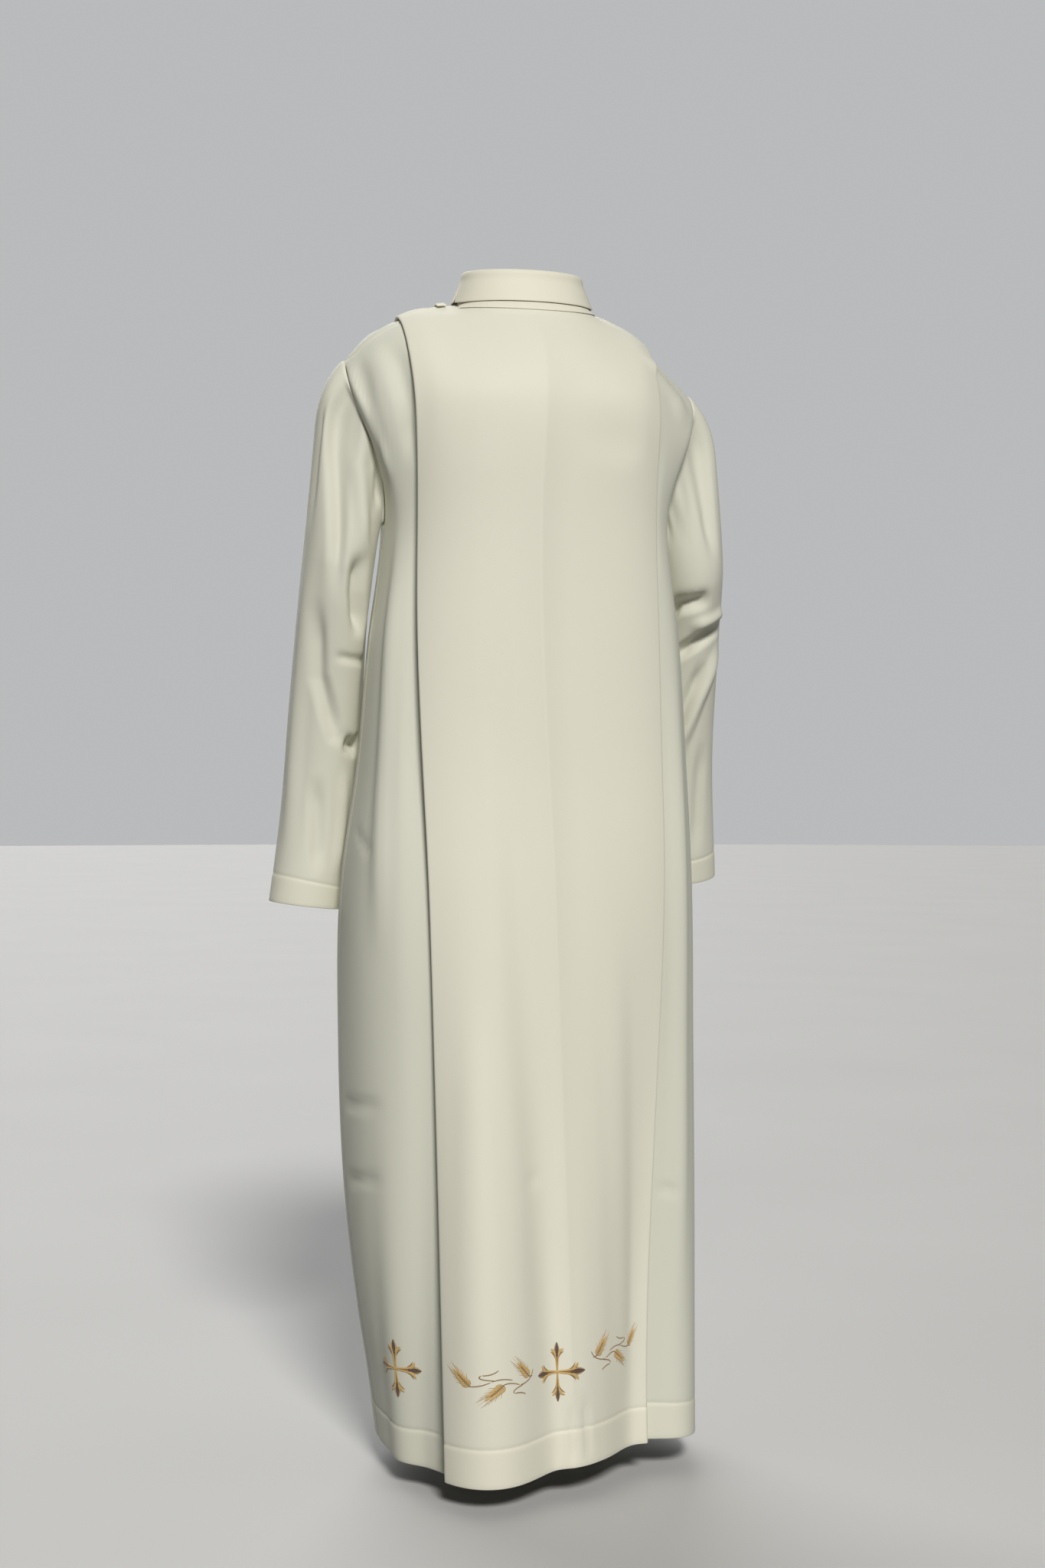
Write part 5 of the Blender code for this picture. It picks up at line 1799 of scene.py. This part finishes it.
SLEEVE_FOLDS_LEFT = (
    Fold(arc_line((43, 1.385), (40, 1.310), (46, 1.260), (68, 1.155), (81, 1.060)), 0.017, -0.0100),
    Fold(arc_line((15, 1.345), (11, 1.260), (12, 1.160)), 0.014, -0.0060),
    Fold(arc_line((70, 1.345), (78, 1.240), (110, 1.150), (140, 1.110)), 0.016, 0.0070),
    Fold(arc_line((108, 1.135), (112, 1.080), (128, 1.020)), 0.022, -0.0150),
    Fold(arc_line((100, 1.300), (112, 1.230), (130, 1.180)), 0.014, -0.0060),
    Fold(arc_line((78, 1.000), (115, 0.996), (160, 0.996)), 0.012, -0.0036, 1.4),
    Fold(arc_line((46, 1.080), (62, 0.974), (97, 0.900), (130, 0.884)), 0.018, -0.0085),
    Fold(arc_line((110, 0.890), (135, 0.884), (165, 0.890)), 0.018, -0.0110),
    Fold(arc_line((20, 1.180), (26, 1.000), (30, 0.850), (34, 0.720)), 0.024, 0.0055),
    Fold(arc_line((-40, 1.300), (-45, 1.100), (-40, 0.850)), 0.022, 0.0040),
    Fold(arc_line((200, 1.060), (215, 1.000), (235, 0.950)), 0.014, -0.0045),
    Fold(arc_line((72, 0.850), (84, 0.780), (96, 0.710)), 0.018, -0.0050),
    Fold(arc_line((120, 0.860), (128, 0.780), (132, 0.700)), 0.018, 0.0040),
)
SLEEVE_FOLDS_RIGHT = (
    Fold(arc_line((160, 1.048), (129, 1.075), (100, 1.078), (66, 1.086)), 0.016, -0.0130),
    Fold(arc_line((145, 1.000), (122, 1.012), (80, 1.034), (24, 1.060)), 0.015, -0.0120),
    Fold(arc_line((24, 1.072), (60, 1.056), (110, 1.044)), 0.013, 0.0065),
    Fold(arc_line((28, 1.036), (55, 0.998), (82, 0.951), (107, 0.896), (118, 0.850)), 0.017, 0.0080),
    Fold(arc_line((75, 1.005), (100, 0.950), (125, 0.890)), 0.017, -0.0070),
    Fold(arc_line((40, 1.340), (52, 1.260), (60, 1.180), (62, 1.120)), 0.016, -0.0085),
    Fold(arc_line((85, 1.330), (92, 1.240), (100, 1.160)), 0.015, 0.0055),
    Fold(arc_line((125, 1.290), (128, 1.220), (134, 1.150)), 0.014, -0.0055),
    Fold(arc_line((66, 0.900), (74, 0.820), (80, 0.730)), 0.017, -0.0045),
    Fold(arc_line((-40, 1.250), (-48, 1.050), (-44, 0.850)), 0.022, 0.0040),
    Fold(arc_line((120, 0.840), (128, 0.780), (130, 0.730)), 0.014, 0.0035),
)

FRONT_DENSITY = BodyDensity(neck=10, beside=12, fold=6, underlay=4, side=20, armhole=30, skirt=84, hem=6)


def dress(piece: bpy.types.Object, material: bpy.types.Material, slot: str, *nodes: str) -> None:
    """Gives a piece its material and the root body, hides the solids that it stands for and logs its
    triangles.
    """
    piece.data.materials.append(material)
    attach(piece, "root")
    if nodes:
        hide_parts(*nodes)
    Log.info("%s: %d triangles", piece.name, sum(len(face.vertices) - 2 for face in piece.data.polygons))


def main() -> None:
    """Builds the robe's pieces in order, dresses them and sets up the studio."""
    logging.basicConfig(level=logging.INFO, format="%(message)s")
    twill, drift = twill_group(), drift_group()
    form = RobeForm()
    sewing_finish = ThreadFinish("ivory_sewing_thread", (0.80, 0.76, 0.62), (0.62, 0.58, 0.46), 0.5, False)
    sewing = sewing_finish.material(drift)

    back = BodyCloth("back_cloth", Face.BACK, form, BACK_FOLDS, BodyDensity(), crease_lift=0.0055)
    front = BodyCloth("front_cloth", Face.FRONT, form, FRONT_FOLDS, FRONT_DENSITY)
    for cloth, node, size, area in ((back, "back", (0.98, 1.51), 1.26), (front, "front", (0.94, 1.50), 1.20)):
        piece = cloth.build()
        dress(piece, IvoryTwill(f"ivory_twill_{node}").material(twill, drift), node, node)
        stitches = HemStitching(f"{node}_hem_stitches", cloth.grid, cloth.hem_row).build()
        dress(stitches, sewing, node)

    sleeves = (
        ("sleeve_left", Arm.LEFT, ARM_LEFT, SLEEVE_FOLDS_LEFT),
        ("sleeve_right", Arm.RIGHT, ARM_RIGHT, SLEEVE_FOLDS_RIGHT),
    )
    for node, arm, path, folds in sleeves:
        sleeve = Sleeve(f"{node}_cloth", arm, form, path, folds)
        piece = sleeve.build()
        dress(piece, IvoryTwill(f"ivory_twill_{node}").material(twill, drift), node, node)
        stitches = HemStitching(f"{node}_cuff_stitches", sleeve.grid, sleeve.cuff_row).build()
        dress(stitches, sewing, node)

    collar = Collar().build()
    dress(collar, IvoryTwill("ivory_twill_collar").material(twill, drift), "collar", "collar")
    binding = NeckBinding(form).build()
    dress(binding, IvoryTwill("ivory_twill_binding").material(twill, drift), "collar")
    tab = ShoulderTab(form).build()
    dress(tab, IvoryTwill("ivory_twill_tab").material(twill, drift), "shoulder_tab", "shoulder_tab")

    chart = ClothChart(back)
    cross, spray = tuple(cross_motif()), tuple(wheat_spray())
    motifs = (
        MotifPlace(cross, 0.020, 0.110, 2.0),
        MotifPlace(cross, 0.268, 0.106, 0.0),
        MotifPlace(cross, -0.335, 0.110, 0.0),
        MotifPlace(spray, 0.112, 0.110, 2.0, -3.0),
        MotifPlace(spray, -0.072, 0.124, 2.0, 8.0, True),
    )
    work = Embroidery(chart, motifs)
    finishes = {
        Thread.GOLD: ThreadFinish("gold_thread", (0.82, 0.60, 0.25), (0.46, 0.27, 0.08)),
        Thread.BRONZE: ThreadFinish("bronze_thread", (0.40, 0.235, 0.085), (0.19, 0.10, 0.035)),
        Thread.PLUM: ThreadFinish("plum_thread", (0.16, 0.10, 0.075), (0.065, 0.04, 0.033)),
    }
    for thread, finish in finishes.items():
        dress(work.build(thread), finish.material(drift), "back")

    studio = Studio()
    studio.floor()
    studio.lights()
    studio.camera()


if __name__ == "__main__":
    main()
